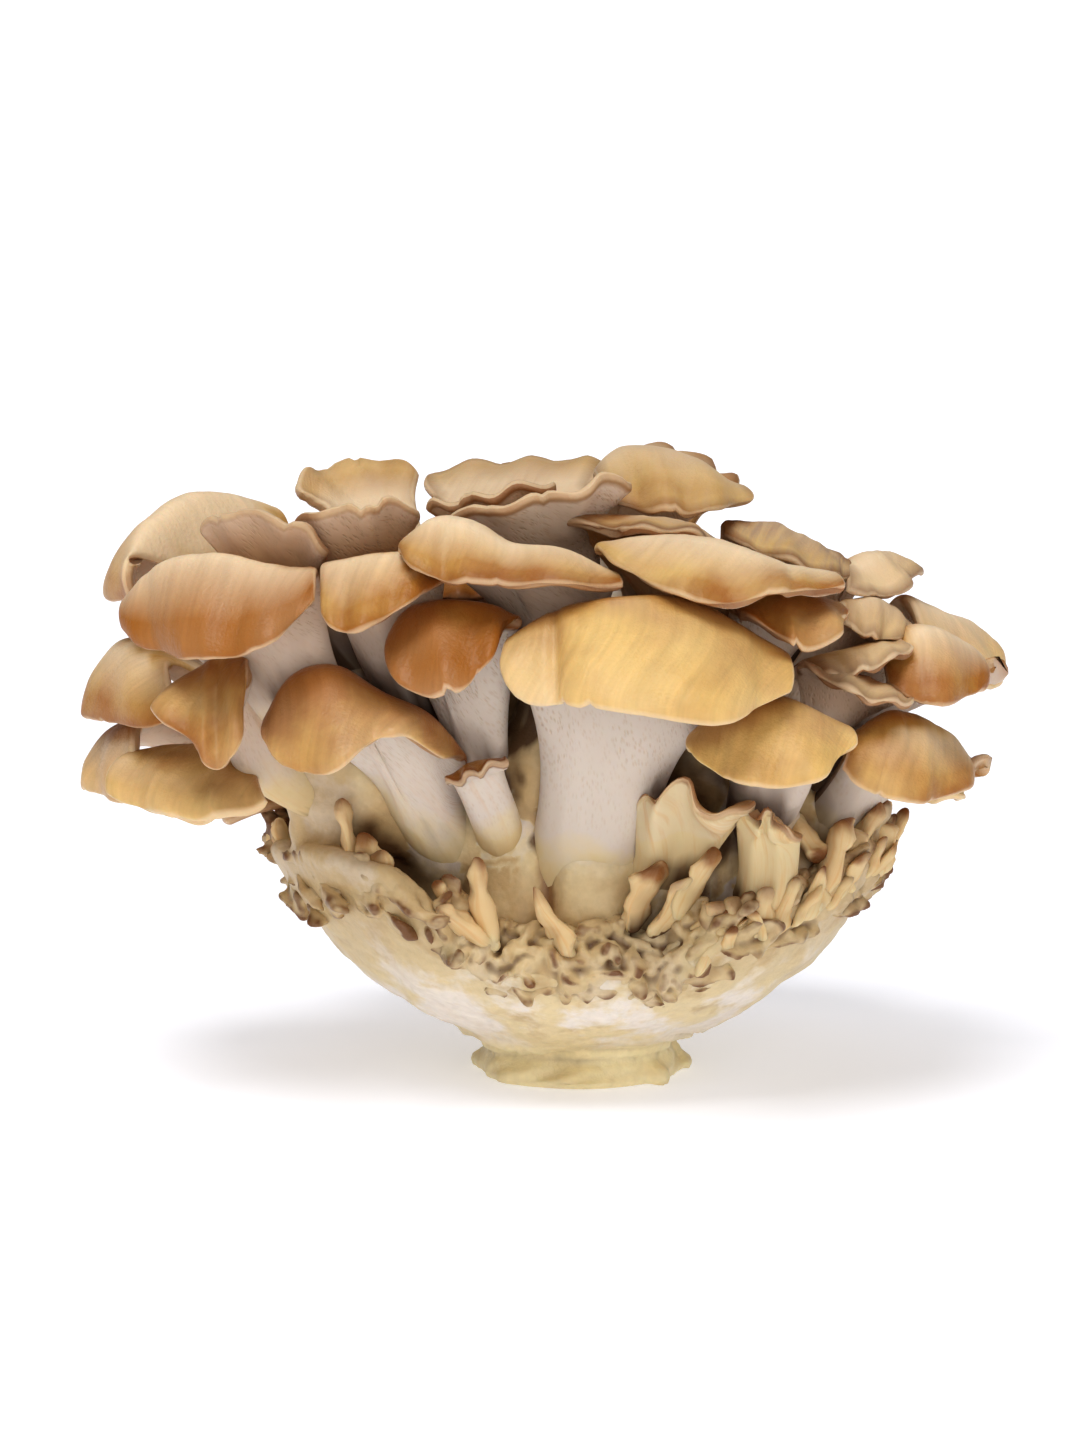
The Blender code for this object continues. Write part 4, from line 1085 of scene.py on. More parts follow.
CRINKLES = [
    Crinkles(
        0.45, 240, 297,
        [(0.2, -3.5), (0.2, -1), (0.8, 1.5), (2.5, 4), (5, 6), (8, 7), (11, 6), (13, 2), (14, -4)],
        [
            Lobes(44, (0.3, 1.2), (-3.5, 1), (2.4, 5.4), (1, 2.6), (0.5, 1), (0, 0.9), (-0.9, 0.9)),
            Lobes(44, (1, 4), (1.5, 5), (2.4, 5.6), (1.4, 3.2), (0.2, 0.9), (0.5, 1), (-0.9, 0.9)),
            Lobes(40, (4, 9), (5, 7), (2.4, 5.6), (1.8, 4.2), (-0.1, 0.7), (0.8, 1), (-0.7, 0.7)),
        ],
    ),
    Crinkles(
        0.48, 290, 352,
        [(0.4, -9), (0.3, -5), (0.3, -2), (1, 0.6), (3.5, 1.8), (7, 1), (9, -1), (10, -5)],
        [
            Lobes(36, (0.2, 1), (-8, 0), (2.2, 4.8), (6, 12), (0, 0.2), (0.1, 0.5), (0.5, 1)),
            Lobes(40, (1, 5), (0, 2.5), (2, 4.5), (4, 9), (0, 0.4), (0.4, 0.9), (0.2, 0.9)),
        ],
    ),
    Crinkles(
        0.5, 182, 240,
        [(0.4, -6), (0.2, -3), (0.2, -1), (1, 0.6), (3.5, 1.2), (6, 0), (8, -3)],
        [
            Lobes(13, (1.4, 2.2), (-9, -2), (3, 5), (10, 16), (0, 0), (-0.5, -0.35), (1, 1)),
            Lobes(9, (0.8, 1.6), (-8, -3), (1.8, 3), (2.5, 5), (0.1, 0.4), (-0.3, 0.5), (0.3, 1)),
            Lobes(6, (1, 4), (0, 1), (2.4, 4), (5, 9), (0, 0.1), (-0.4, 0.2), (0.7, 1)),
        ],
    ),
    Crinkles(
        0.95, 346, 545,
        [(0.4, -6), (0.2, -3), (0.2, -1), (1, 0.8), (4, 1.6), (7, 0.5), (9, -4)],
        [
            Lobes(60, (0.2, 1.5), (-6, 0.5), (2.5, 5), (4, 8), (0.1, 0.6), (0.1, 0.9), (-0.8, 0.8)),
            Lobes(60, (1, 5), (0.5, 2), (2.5, 5.5), (3.5, 7), (0, 0.6), (0.6, 1), (-0.8, 0.8)),
        ],
    ),
]

# Thickness of a stretch's core in millimetres, and how much further in its lobes are rooted.
CORE_FLESH = 2.6
LOBE_ROOT = 1.2


def crinkle_core(form):
    """A slab over the rim, that follows the path of these crinkles."""
    path = curve_through([(inset, rise, 0.0) for inset, rise in form.path], np.linspace(0, 1, 24))
    inset, rise = path[:, :1], path[:, 1:2]
    columns = round((form.last - form.first) * 1.5)
    degrees = np.linspace(form.last, form.first, columns)
    angle = np.radians(degrees)
    rim = np.array([rim_height(d) for d in degrees])[None, :]
    z = rim + rise
    radius = bowl_radius(np.minimum(z, rim)) - inset
    sheet = np.stack([radius * np.cos(angle), radius * np.sin(angle), z], axis=2)
    sheet = sheet + 0.8 * lumps(sheet, 4.0, 71)[..., None] * sheet_normals(sheet)
    return slab_mesh("core", sheet, sheet - CORE_FLESH * sheet_normals(sheet))


def out_and_along(degrees):
    """The level ways out of the bowl and along its rim, at this angle."""
    angle = math.radians(degrees)
    return Vector((math.cos(angle), math.sin(angle), 0)), Vector((-math.sin(angle), math.cos(angle), 0))


def lobe_meshes(form, row, draw):
    """One row of small flat lobes, each turned its own way."""
    meshes = []
    for i in range(row.count):
        degrees = form.first + (form.last - form.first) * (i + draw.random()) / row.count
        out, side = out_and_along(degrees)
        rim = rim_height(degrees)
        rise = draw.uniform(*row.rise)
        wall = bowl_radius(rim + min(rise, 0.0))
        way = draw.uniform(*row.out) * out + draw.uniform(*row.along) * side
        way = (way + Vector((0, 0, draw.uniform(*row.up)))).normalized()
        root = out * (wall - draw.uniform(*row.inset)) + Vector((0, 0, rim + rise)) - LOBE_ROOT * way
        tip = root + way * (draw.uniform(*row.length) + LOBE_ROOT)
        width, flatness = draw.uniform(*row.width), draw.uniform(0.35, 0.6)
        lobe = Bud(root, tip, width, flatness, draw.uniform(-0.5, 0.5), draw.uniform(0.8, 1.5))
        mesh, _, _ = finger(lobe, draw.randrange(1000), draw.uniform(0, math.pi), 12)
        meshes.append(mesh)
    return meshes


def crinkle_piece(material):
    """The crinkled rim all round, as one piece: cores and lobes that have grown together."""
    draw = random.Random(SEED + 3)
    stretches = []
    for form in CRINKLES:
        meshes = [crinkle_core(form)]
        for row in form.rows:
            meshes += lobe_meshes(form, row, draw)
        stretches.append(remeshed(joined(meshes, "lobes"), form.cell * MM))
    mesh = joined(stretches, "fine_crinkles")
    points = smoothed(points_of(mesh)[0] / MM, mesh, 0.5, 2)
    put_points(mesh, points)
    _, normals = points_of(mesh)
    points = points + normals * (0.2 * lumps(points, 1.4, 61))[:, None]
    relief = 2.0 * stands_out(points, mesh, normals, 60)
    put_points(mesh, in_box(points))
    mesh.shade_smooth()
    give_values(mesh, "place", 0.0, 0.0, relief)
    give_values(mesh, "flesh", 1.0, 0.0, enclosure(points, normals))
    return new_piece("fine_crinkles", mesh, material, ["base"])


# Looks of a bud, as tone, bloom, pale and edge.
FINGER = (0.3, 0.5, 0.7, 0.6)
DARK_TIP = (0.8, 0.5, 0.0, 1.0)

# A small frond that stopped growing, from its root to its tip. taper is how wide its end is
# beside its root, flatness how thick it is beside its width, bend how far its middle bows out.
Bud = namedtuple("Bud", "root tip width flatness bend taper look", defaults=(FINGER,))


def finger(bud, seed, roll=0.0, sides=18):
    """A ball drawn out along a bent axis, lumpy: its mesh, how far along it each point is, and
    how far round in millimetres."""
    root, tip = np.array(bud.root, float), np.array(bud.tip, float)
    axis = tip - root
    length = np.linalg.norm(axis)
    aimed = Vector(axis).to_track_quat("Z", "Y") @ Quaternion((0, 0, 1), roll)
    bm = bmesh.new()
    bmesh.ops.create_uvsphere(bm, u_segments=sides, v_segments=sides, radius=1.0)
    mesh = finished(bm, "bud")
    x, y, z = points_of(mesh)[0].T
    share = (z + 1) / 2
    blunt = np.sqrt(np.maximum(1 - z**4, 0)) / np.maximum(np.hypot(x, y), 1e-6)
    blunt = np.where(np.abs(z) > 0.999, 0.0, blunt)
    swell = 1 + (bud.taper - 1) * share + 0.15 * bud.taper * smooth_between(0.7, 0.9, share)
    half = bud.width / 2 * swell * blunt
    shape = np.stack([x * half, y * half * bud.flatness, share * length], axis=1)
    shape[:, 0] += bud.bend * length * (share**2 - share)
    points = root + shape @ np.array(aimed.to_matrix()).T
    points += (points - (root + np.outer(share, axis))) * 0.5 * lumps(points, 2.6, seed)[:, None]
    points += 1.1 * np.stack([lumps(points, 4.5, seed + i) for i in (2, 3, 4)], axis=1) * share[:, None]
    put_points(mesh, in_box(points))
    mesh.shade_smooth()
    return mesh, share, np.arctan2(y, x) * bud.width / 2


def bud_mesh(bud, seed):
    """A blunt finger of flesh, with a darker tip."""
    mesh, share, around = finger(bud, seed)
    points, normals = points_of(mesh)
    points = points / MM
    length = (Vector(bud.tip) - Vector(bud.root)).length
    border = (1 - share) * length + 1.0
    skin = smooth_between(0.75, 1.0, share + 0.2 * lumps(points, 2.5, seed + 1))
    give_values(mesh, "place", skin, 0.2 + 0.8 * share, border * MM)
    give_values(mesh, "look", *bud.look)
    give_values(mesh, "flesh", 0.3, 1.0, enclosure(points, normals))
    give_map(mesh, around, share * length)
    return mesh


# Buds that stopped growing, as the front view shows them.
FRONT_BUDS = [
    Bud(seen(-17.5, 22, -44), seen(-20.5, 42, -45), 4.6, 0.9, 0.05, 0.85, DARK_TIP),
    Bud(seen(-16, 24, -44), seen(-28, 32, -48), 7.5, 0.5, 0.25, 0.9),
    Bud(seen(-2, 22, -44), seen(-9.5, 35, -47), 8.5, 0.6, -0.35, 0.25, DARK_TIP),
    Bud(seen(-25, 31, -43), seen(-28, 37, -44), 3.0, 0.7, 0.1, 1.0, DARK_TIP),
    Bud(seen(-43, 33, -38), seen(-46, 53, -38), 6.0, 0.5, 0.3, 1.0),
    Bud(seen(-41, 31, -38), seen(-42, 46, -41), 6.5, 0.5, -0.3, 0.9, DARK_TIP),
    Bud(seen(-37, 31, -38), seen(-39, 43, -43), 4.5, 0.7, 0.2, 1.0, DARK_TIP),
    Bud(seen(-37, 46, -33), seen(-36.5, 63, -36), 3.2, 0.8, 0.1, 1.0),
    Bud(seen(10, 27, -40), seen(15, 41, -45), 6.0, 0.4, 0.3, 1.1, DARK_TIP),
    Bud(seen(14, 26, -41), seen(21, 38, -47), 7.0, 0.4, -0.3, 1.0),
    Bud(seen(19, 29, -41), seen(26, 43, -46), 6.0, 0.4, 0.3, 1.1, DARK_TIP),
    Bud(seen(22, 26, -41), seen(27, 33, -47), 5.0, 0.5, -0.2, 0.9),
    Bud(seen(40, 50, -30), seen(47, 41, -37), 7.0, 0.7, 0.1, 0.9, DARK_TIP),
    Bud(seen(44, 30, -34), seen(52, 50, -33), 7.0, 0.6, 0.2, 0.9, DARK_TIP),
    Bud(seen(48, 36, -24), seen(58, 52, -22), 6.0, 0.6, 0.1, 0.8),
    Bud(seen(53, 36, -20), seen(61.5, 44, -20), 5.0, 0.6, 0.2, 0.5, DARK_TIP),
]

# Rows of buds on the rim: how many, from and to which angle, and how far in from the edge.
BUD_ROWS = [(16, 296, 345, 1.0), (16, 300, 350, 5.0), (30, -12, 196, 1.5), (26, -10, 194, 5.5)]


def rim_buds():
    """Blunt lobes in loose clumps along the rim, at the right and round the back."""
    draw = random.Random(SEED + 1)
    buds = []
    for count, first, last, inset in BUD_ROWS:
        for i in range(count):
            degrees = first + (last - first) * (i + draw.uniform(-0.45, 0.45)) / count
            out, side = out_and_along(degrees)
            rim = rim_height(degrees)
            width = draw.uniform(2.5, 7.0)
            length = draw.uniform(1.2, 2.2) * width + draw.uniform(1.0, 4.0)
            root = out * (bowl_radius(rim) - inset - draw.uniform(0, 2)) + Vector((0, 0, rim - 3.5))
            lean = out * draw.uniform(0.1, 0.6) + side * draw.uniform(-0.8, 0.8)
            tip = root + (Vector((0, 0, 1)) + lean).normalized() * length
            reach = math.hypot(tip.x, tip.y)
            tip.xy *= min(1.0, (bowl_radius(min(tip.z, BOWL_CENTRE_Z)) + 1.0) / reach)
            look = draw.choice((FINGER, DARK_TIP))
            bend, taper = draw.uniform(-0.5, 0.5), draw.uniform(0.45, 1.15)
            buds.append(Bud(root, tip, width, draw.uniform(0.35, 0.8), bend, taper, look))
    return buds


def bud_piece(material):
    """Every bud on the rim, as one piece."""
    meshes = [bud_mesh(bud, 900 + 3 * i) for i, bud in enumerate(FRONT_BUDS + rim_buds())]
    return new_piece("fine_buds", joined(meshes, "fine_buds"), material, ["base"])


def linear(code):
    """An sRGB hex colour as the linear values that shaders and lights take."""
    values = [int(code[i : i + 2], 16) / 255 for i in (1, 3, 5)]
    return [v / 12.92 if v <= 0.04045 else ((v + 0.055) / 1.055) ** 2.4 for v in values] + [1.0]


def set_inputs(node, given):
    """Gives a node's inputs, by number or name, these values and links."""
    for key, value in given.items():
        if isinstance(value, bpy.types.NodeSocket):
            node.id_data.links.new(value, node.inputs[key])
        else:
            node.inputs[key].default_value = value


def add_node(tree, kind, *values, **named):
    """Adds a node and returns its output, or all of them where it has several. Values and links go
    to its inputs in order or by name, and the other named values are its settings."""
    node = tree.nodes.new("ShaderNode" + kind)
    for name in [name for name in named if name not in node.inputs]:
        setattr(node, name, named.pop(name))
    enabled = [i for i, socket in enumerate(node.inputs) if socket.enabled]
    set_inputs(node, dict(zip(enabled, values)) | named)
    outputs = [socket for socket in node.outputs if socket.enabled]
    return outputs if len(outputs) > 1 else outputs[0]


def new_material(name):
    """A material, its shader with the index of refraction of moist flesh, and what adds its nodes."""
    material = bpy.data.materials.new(name)
    material.use_nodes = True
    shader = material.node_tree.nodes["Principled BSDF"]
    set_inputs(shader, {"IOR": 1.4})
    return material, shader, partial(add_node, material.node_tree)


# Sizes of the patterns' lumps, in millimetres: slow changes of colour, the skin's felt, white
# growth, stains, and the grain of the base.
CLOUD = 11.11
FELT = 0.714
PATCH = 16.67
STAIN = 7.69
GRAIN = 1.667

# How deep the felt and the grain stand out, in millimetres, and how far light goes into flesh.
FELT_DEPTH = 0.2
GRAIN_DEPTH = 0.4
LIGHT_DEPTH = 3.0


def flesh_colour(node, colours, along, wax, cloud, inside):
    """Ivory flesh, which turns cream-yellow down the stalk, with a patchy line between them, and
    waxy brown at its root, inside the bowl."""
    edge = node("Math", cloud, 0.28, along, operation="MULTIPLY_ADD")
    edge = node("Math", wax, -0.35, edge, operation="MULTIPLY_ADD")
    lower = node("MapRange", edge, 0.33, 0.43, 1.0, 0.0)
    yellow = node("Math", lower, node("MapRange", wax, 0.5, 1.0, 0.0, 1.0), operation="MAXIMUM")
    flesh = node("Mix", yellow, colours.ivory_flesh, colours.foot_flesh, data_type="RGBA")
    waxy = node("MapRange", edge, 0.2, 0.36, inside, 0.0)
    return node("Mix", waxy, flesh, colours.waxy_flesh, data_type="RGBA")


def frond_material(name, scene):
    """Cap skin over polypore flesh. The skin is a dry, satin felt of fine hyphae that lets light
    in, so it glows ochre where it is thin. The underside is matt, with pores that run down it."""
    colours, sizes = scene.maitake_colours, scene.maitake_sizes
    material, shader, node = new_material(name)
    _, place, _, _ = node("Attribute", attribute_name="place")
    skin, along, border = node("SeparateXYZ", place)
    _, flesh, _, _ = node("Attribute", attribute_name="flesh")
    tan, wax, enclosed = node("SeparateXYZ", flesh)
    look, _, _, brown = node("Attribute", attribute_name="look")
    tone, bloom, pale = node("SeparateColor", look)
    _, _, flat, solid, _, _, _ = node("TexCoord")
    stretch = (1 / sizes.streak_width, 0.08 / sizes.streak_width, 1.0)
    streak, _ = node("TexNoise", node("Mapping", flat, Scale=stretch), 1.0, 4.0, 0.55)
    cloud, _ = node("TexNoise", solid, 1 / (CLOUD * MM), 4.0, 0.55)
    felt, _ = node("TexNoise", solid, 1 / (FELT * MM), 3.0, 0.55)

    # Warm skin, ripest at the crown of a pale cap and at the margin of a dark one: partly the skin's
    # own tone, partly painted shade, darker at the top of a cap under the caps above and on the lower
    # margin of a cap lit from above. Light bleaches the margin. The open crown of a cap with a brown
    # edge is paler, partly bleached felt and partly a painted highlight where no frond covers it.
    # Down lies over both.
    ripeness_and_shade = node("MapRange", along, 0.6, 0.97, 0.35, -0.3)
    warmer_end = node("MapRange", pale, 0.08, 0.25, -1.0, 1.0)
    warm = node("Math", tone, node("MapRange", cloud, 0.3, 0.7, -0.3, 0.3), operation="ADD")
    warm = node("Math", ripeness_and_shade, warmer_end, warm, operation="MULTIPLY_ADD", use_clamp=True)
    margin = node("MapRange", along, 0.7, 1.0, 0.3, 1.0)
    bleach = node("Math", margin, pale, operation="MULTIPLY")
    aged = node("MapRange", brown, 0.0, 0.08, 0.2, 1.0)
    # Painted highlight in part: the open crown is paler as far as no other frond encloses it.
    faded = node("Math", node("MapRange", enclosed, 0.1, 0.45, 0.95, 0.0), aged, operation="MULTIPLY")
    crown_bleach_and_highlight = node("MapRange", along, 0.68, 0.88, faded, 0.0)
    down = node("Math", node("MapRange", streak, 0.35, 0.65, 0.35, 1.0), bloom, operation="MULTIPLY")
    cap = node("Mix", warm, colours.ochre_skin, colours.orange_skin, data_type="RGBA")
    for share, layer in (
        (bleach, colours.bleached_and_lit_skin),
        (crown_bleach_and_highlight, colours.bleached_and_lit_skin),
        (down, colours.grey_down),
    ):
        cap = node("Mix", share, cap, layer, data_type="RGBA")
    cap = node("VectorMath", cap, node("MapRange", streak, 0.3, 0.7, 0.9, 1.05), operation="SCALE")

    # The margin: a brown band where the frond is old, a slightly paler rim where it still grows.
    for share, layer in (
        (node("MapRange", border, 3.5 * MM, 0.6 * MM, 0.0, brown), colours.brown_edge),
        (node("MapRange", border, 1.0 * MM, 0.3 * MM, 0.0, 0.55), colours.bleached_and_lit_skin),
        # Painted shadow where other fronds cover the skin.
        (node("MapRange", enclosed, 0.25, 0.75, 0.0, 0.7), colours.painted_shadow_skin),
    ):
        cap = node("Mix", share, cap, layer, data_type="RGBA")

    # The underside: tan in the hollow under the cap and in the pleats of a waxy stalk. Pores run
    # down it, and fade out towards the root and on waxy flesh. Painted shade darkens the lower
    # stalk where other fronds enclose it.
    toned = node("MapRange", along, 0.3, 0.5, 0.0, tan)
    toned = node("Math", toned, node("MapRange", along, 0.65, 1.0, 1.0, 0.4), operation="MULTIPLY")
    pleat = node("Math", node("MapRange", streak, 0.5, 0.7, 0.0, 0.5), wax, operation="MULTIPLY")
    pore_scale = (1 / sizes.pore, 0.4 / sizes.pore, 1.0)
    pores, _, _ = node("TexVoronoi", node("Mapping", flat, Scale=pore_scale), 1.0)
    pored = node("MapRange", wax, 0.0, 1.0, node("MapRange", cloud, 0.35, 0.6, 0.2, 1.0), 0.0)
    pored = node("MapRange", along, 0.25, 0.5, 0.0, pored)
    opened = node("Math", node("MapRange", pores, 0.45, 0.1, 0.0, 0.6), pored, operation="MULTIPLY")
    # Painted shade on the lower stalk, as dark as the solids round it enclose it.
    deep = node("MapRange", enclosed, 0.42, 0.78, 0.0, 0.9)
    deep = node("Math", deep, node("MapRange", along, 0.3, 0.5, 1.0, 0.1), operation="MULTIPLY")
    drier = node("MapRange", wax, 0.5, 0.9, 1.0, 0.2)
    under = flesh_colour(node, colours, along, wax, cloud, drier)
    for share, layer in (
        (toned, colours.tan_flesh),
        (pleat, colours.tan_flesh),
        (opened, colours.pore_shade),
        (deep, colours.painted_shade_flesh),
    ):
        under = node("Mix", share, under, layer, data_type="RGBA")

    # Satin skin, matt flesh. Felt and streaks stand out of the skin, and pores sink in.
    gloss = node("MapRange", skin, 0.0, 1.0, 0.7, 0.36)
    pitted = node("MapRange", pores, 0.0, 0.5, 0.0, pored)
    rough = node("Math", streak, 0.7, felt, operation="MULTIPLY_ADD")
    relief = node("Mix", skin, pitted, rough)
    set_inputs(
        shader,
        {
            "Base Color": node("Mix", skin, under, cap, data_type="RGBA"),
            "Roughness": node("Math", bloom, 0.25, gloss, operation="MULTIPLY_ADD"),
            "Specular IOR Level": 0.35,
            "Subsurface Weight": 0.2,
            "Subsurface Radius": (1.0, 0.5, 0.25),
            "Subsurface Scale": LIGHT_DEPTH * MM,
            "Normal": node("Bump", Height=relief, Distance=FELT_DEPTH * MM, Strength=0.8),
        },
    )
    return material


def base_material(name, scene):
    """Dense polypore flesh that grew against a vessel: waxy and cream-yellow, with painted shade in
    its folds and hollows, and a dry white bloom of mycelium on the bowl that keeps it from shining."""
    colours = scene.maitake_colours
    material, shader, node = new_material(name)
    _, place, _, _ = node("Attribute", attribute_name="place")
    inside, along, relief = node("SeparateXYZ", place)
    _, flesh, _, _ = node("Attribute", attribute_name="flesh")
    lip, hollow, enclosed = node("SeparateXYZ", flesh)
    _, _, _, solid, _, _, _ = node("TexCoord")
    _, _, height = node("SeparateXYZ", solid)
    cloud, _ = node("TexNoise", solid, 1 / (CLOUD * MM), 4.0, 0.55)
    patch, _ = node("TexNoise", solid, 1 / (PATCH * MM), 6.0, 0.62)
    stain, _ = node("TexNoise", solid, 1 / (STAIN * MM), 3.0, 0.55)
    grain, _ = node("TexNoise", solid, 1 / (GRAIN * MM), 4.0, 0.55)

    # The wall is browner towards the rim outside, with white growth in patches above the foot and
    # brown stains.
    upper = node("MapRange", height, 20 * MM, 42 * MM, 0.0, 0.55)
    upper = node("Math", upper, inside, operation="SUBTRACT")
    tanned = node("Math", upper, node("Math", lip, 0.35, operation="MULTIPLY"), operation="MAXIMUM")
    white = node("MapRange", patch, 0.48, 0.58, 0.0, 0.9)
    for fading in (
        node("MapRange", height, 7 * MM, 13 * MM, 0.1, 1.0),
        node("MapRange", inside, 0.0, 1.0, 1.0, 0.0),
        node("MapRange", height, 20 * MM, 34 * MM, 1.0, 0.3),
        node("MapRange", lip, 0.0, 1.0, 1.0, 0.35),
    ):
        white = node("Math", white, fading, operation="MULTIPLY")
    stained = node("MapRange", stain, 0.52, 0.68, 0.0, 0.5)
    for fading in (
        node("MapRange", white, 0.0, 0.5, 1.0, 0.3),
        node("MapRange", inside, 0.0, 1.0, 1.0, 0.4),
    ):
        stained = node("Math", stained, fading, operation="MULTIPLY")

    # Painted shade in the hollows between the roots, in the folds and deep among the fronds, and
    # brown tips on the crinkles. The foot is freshly cut, pale and yellow.
    crest = node("Math", node("MapRange", relief, 0.7, 1.5, 0.0, 0.9), lip, operation="MULTIPLY")
    crest = node("Math", crest, node("MapRange", stain, 0.42, 0.55, 0.2, 1.0), operation="MULTIPLY")
    freshness = node("MapRange", patch, 0.38, 0.6, 0.45, 0.85)
    # Painted shade deep inside the bowl, as dark as the solids round it enclose it.
    deep = node("Math", node("MapRange", enclosed, 0.38, 0.75, 0.0, 0.9), inside, operation="MULTIPLY")
    colour = flesh_colour(node, colours, along, 0.0, cloud, inside)
    for share, layer in (
        (tanned, colours.stained_flesh),
        (white, colours.mycelium),
        (stained, colours.stained_flesh),
        # Painted shade in the hollows between the roots, and in the folds below.
        (node("MapRange", hollow, 0.0, 1.0, 0.0, 0.75), colours.painted_shadow_skin),
        (node("MapRange", relief, -0.1, -1.5, 0.0, 0.9), colours.painted_fold_shade),
        (crest, colours.brown_edge),
        (node("MapRange", height, 7 * MM, 9.5 * MM, freshness, 0.0), colours.cut_flesh),
        (deep, colours.painted_shade_flesh),
    ):
        colour = node("Mix", share, colour, layer, data_type="RGBA")
    mottle = node("MapRange", grain, 0.3, 0.7, 0.93, 1.04)
    set_inputs(
        shader,
        {
            "Base Color": node("VectorMath", colour, mottle, operation="SCALE"),
            "Roughness": node("MapRange", white, 0.0, 1.0, 0.38, 0.85),
            "Subsurface Weight": 0.15,
            "Subsurface Radius": (1.0, 0.6, 0.3),
            "Subsurface Scale": LIGHT_DEPTH * MM,
            "Normal": node("Bump", Height=grain, Distance=GRAIN_DEPTH * MM, Strength=0.6),
        },
    )
    return material


def paper_material(colours):
    """Matt white paper, lit a little from below, as on a light table."""
    material, shader, _ = new_material("matt_white_paper")
    set_inputs(
        shader,
        {
            "Base Color": colours.paper,
            "Roughness": 0.9,
            "Specular IOR Level": 0.1,
            "Emission Color": (0.93, 0.95, 1.0, 1.0),
            "Emission Strength": 0.32,
        },
    )
    return material


class MaitakeSizes(bpy.types.PropertyGroup):
    frond_cell: bpy.props.FloatProperty(
        name="Frond cell",
        description="Width of the faces on a fine frond",
        default=1.0 * MM,
        unit="LENGTH",
    )
    base_cell: bpy.props.FloatProperty(
        name="Base cell",
        description="Width of the faces on the foot, bowl and trunk",
        default=0.98 * MM,
        unit="LENGTH",
    )
    streak_width: bpy.props.FloatProperty(
        name="Streak width",
        description="Width of the radial streaks in the cap's skin",
        default=1.6 * MM,
        unit="LENGTH",
    )
    pore: bpy.props.FloatProperty(
        name="Pore spacing",
        description="Distance between the pores of the underside, a little over the real 0.4 mm",
        default=0.55 * MM,
        unit="LENGTH",
    )
    floor: bpy.props.FloatProperty(
        name="Floor radius", description="Radius of the paper floor", default=400.0, unit="LENGTH"
    )


def colour_property(name, description, code):
    """A colour that a user may change, with this hex code as its default."""
    return bpy.props.FloatVectorProperty(
        name=name, description=description, default=linear(code), size=4, subtype="COLOR", min=0, max=1
    )


class MaitakeColours(bpy.types.PropertyGroup):
    ochre_skin: colour_property("Ochre skin", "Skin of a young cap", "#DDB565")
    orange_skin: colour_property("Orange skin", "Skin of a ripe cap", "#A66A2C")
    # Bleached skin, also used as the painted highlight on open crowns.
    bleached_and_lit_skin: colour_property("Bleached skin", "Skin where light has faded it", "#F0D6B2")
    grey_down: colour_property("Grey down", "Fine down on the upper fronds", "#A98D72")
    brown_edge: colour_property("Brown edge", "Band along an old margin", "#6E4526")
    ivory_flesh: colour_property("Ivory flesh", "Underside and upper stalk", "#D9CCBE")
    pore_shade: colour_property("Pore shade", "Depth of the pores", "#C4A684")
    tan_flesh: colour_property("Tan flesh", "Hollow of the underside", "#D29C5C")
    foot_flesh: colour_property("Foot flesh", "Foot and lower stalk", "#DFCBA0")
    cut_flesh: colour_property("Cut flesh", "Foot, where it was cut", "#F6E6B8")
    waxy_flesh: colour_property("Waxy flesh", "Trunk and inside of the bowl", "#CCAF80")
    mycelium: colour_property("Mycelium", "White growth on the bowl", "#E9E0D6")
    stained_flesh: colour_property("Stained flesh", "Stains on the bowl", "#AE8C5E")
    painted_shadow_skin: colour_property("Covered skin", "Painted shadow on covered skin, and painted shade in hollows by the roots", "#8C5220")
    # Painted shade between the fronds and deep inside the bowl.
    painted_shade_flesh: colour_property("Deep flesh", "Painted shade between the fronds", "#4E2E16")
    # Painted shade in the folds of the bowl and of the crinkles.
    painted_fold_shade: colour_property("Fold shade", "Painted shade in the folds of the bowl", "#5E3A1E")
    paper: colour_property("Paper", "Floor", "#E9E9EE")


def shared_material(scene, name, make):
    """The scene's material of this name, made by the first piece that needs it."""
    return bpy.data.materials.get(name) or make(name, scene)


def flesh_and_skin(scene):
    """What fronds and buds are made of."""
    return shared_material(scene, "maitake_cap_skin_and_pored_flesh", frond_material)


def base_flesh(scene):
    """What the base and its crinkles are made of."""
    return shared_material(scene, "maitake_base_flesh_with_mycelium", base_material)


class BuildFrontFronds(bpy.types.Operator):
    """Build the fine fronds that the front view shows"""

    bl_idname = "maitake.front_fronds"
    bl_label = "Front fronds"

    def execute(self, context):
        scene = context.scene
        for form, look in FRONT:
            frond_piece(form, look, scene.maitake_sizes.frond_cell / MM, flesh_and_skin(scene))
        return {"FINISHED"}


class BuildBackFronds(bpy.types.Operator):
    """Build the fine fronds round the back of the cluster"""

    bl_idname = "maitake.back_fronds"
    bl_label = "Back fronds"

    def execute(self, context):
        scene = context.scene
        for form, look in back_fronds():
            cell = 1.25 * scene.maitake_sizes.frond_cell / MM
            frond_piece(form, look, cell, flesh_and_skin(scene))
        return {"FINISHED"}


class BuildBase(bpy.types.Operator):
    """Build the foot, bowl and trunk, running up into the stalks"""

    bl_idname = "maitake.base"
    bl_label = "Foot, bowl and trunk"

    def execute(self, context):
        scene = context.scene
        base_piece(FRONT + back_fronds(), scene.maitake_sizes.base_cell, base_flesh(scene))
        return {"FINISHED"}


class BuildCrinkles(bpy.types.Operator):
    """Build the crinkled rim of the bowl"""

    bl_idname = "maitake.crinkles"
    bl_label = "Crinkled rim"

    def execute(self, context):
        crinkle_piece(base_flesh(context.scene))
        return {"FINISHED"}


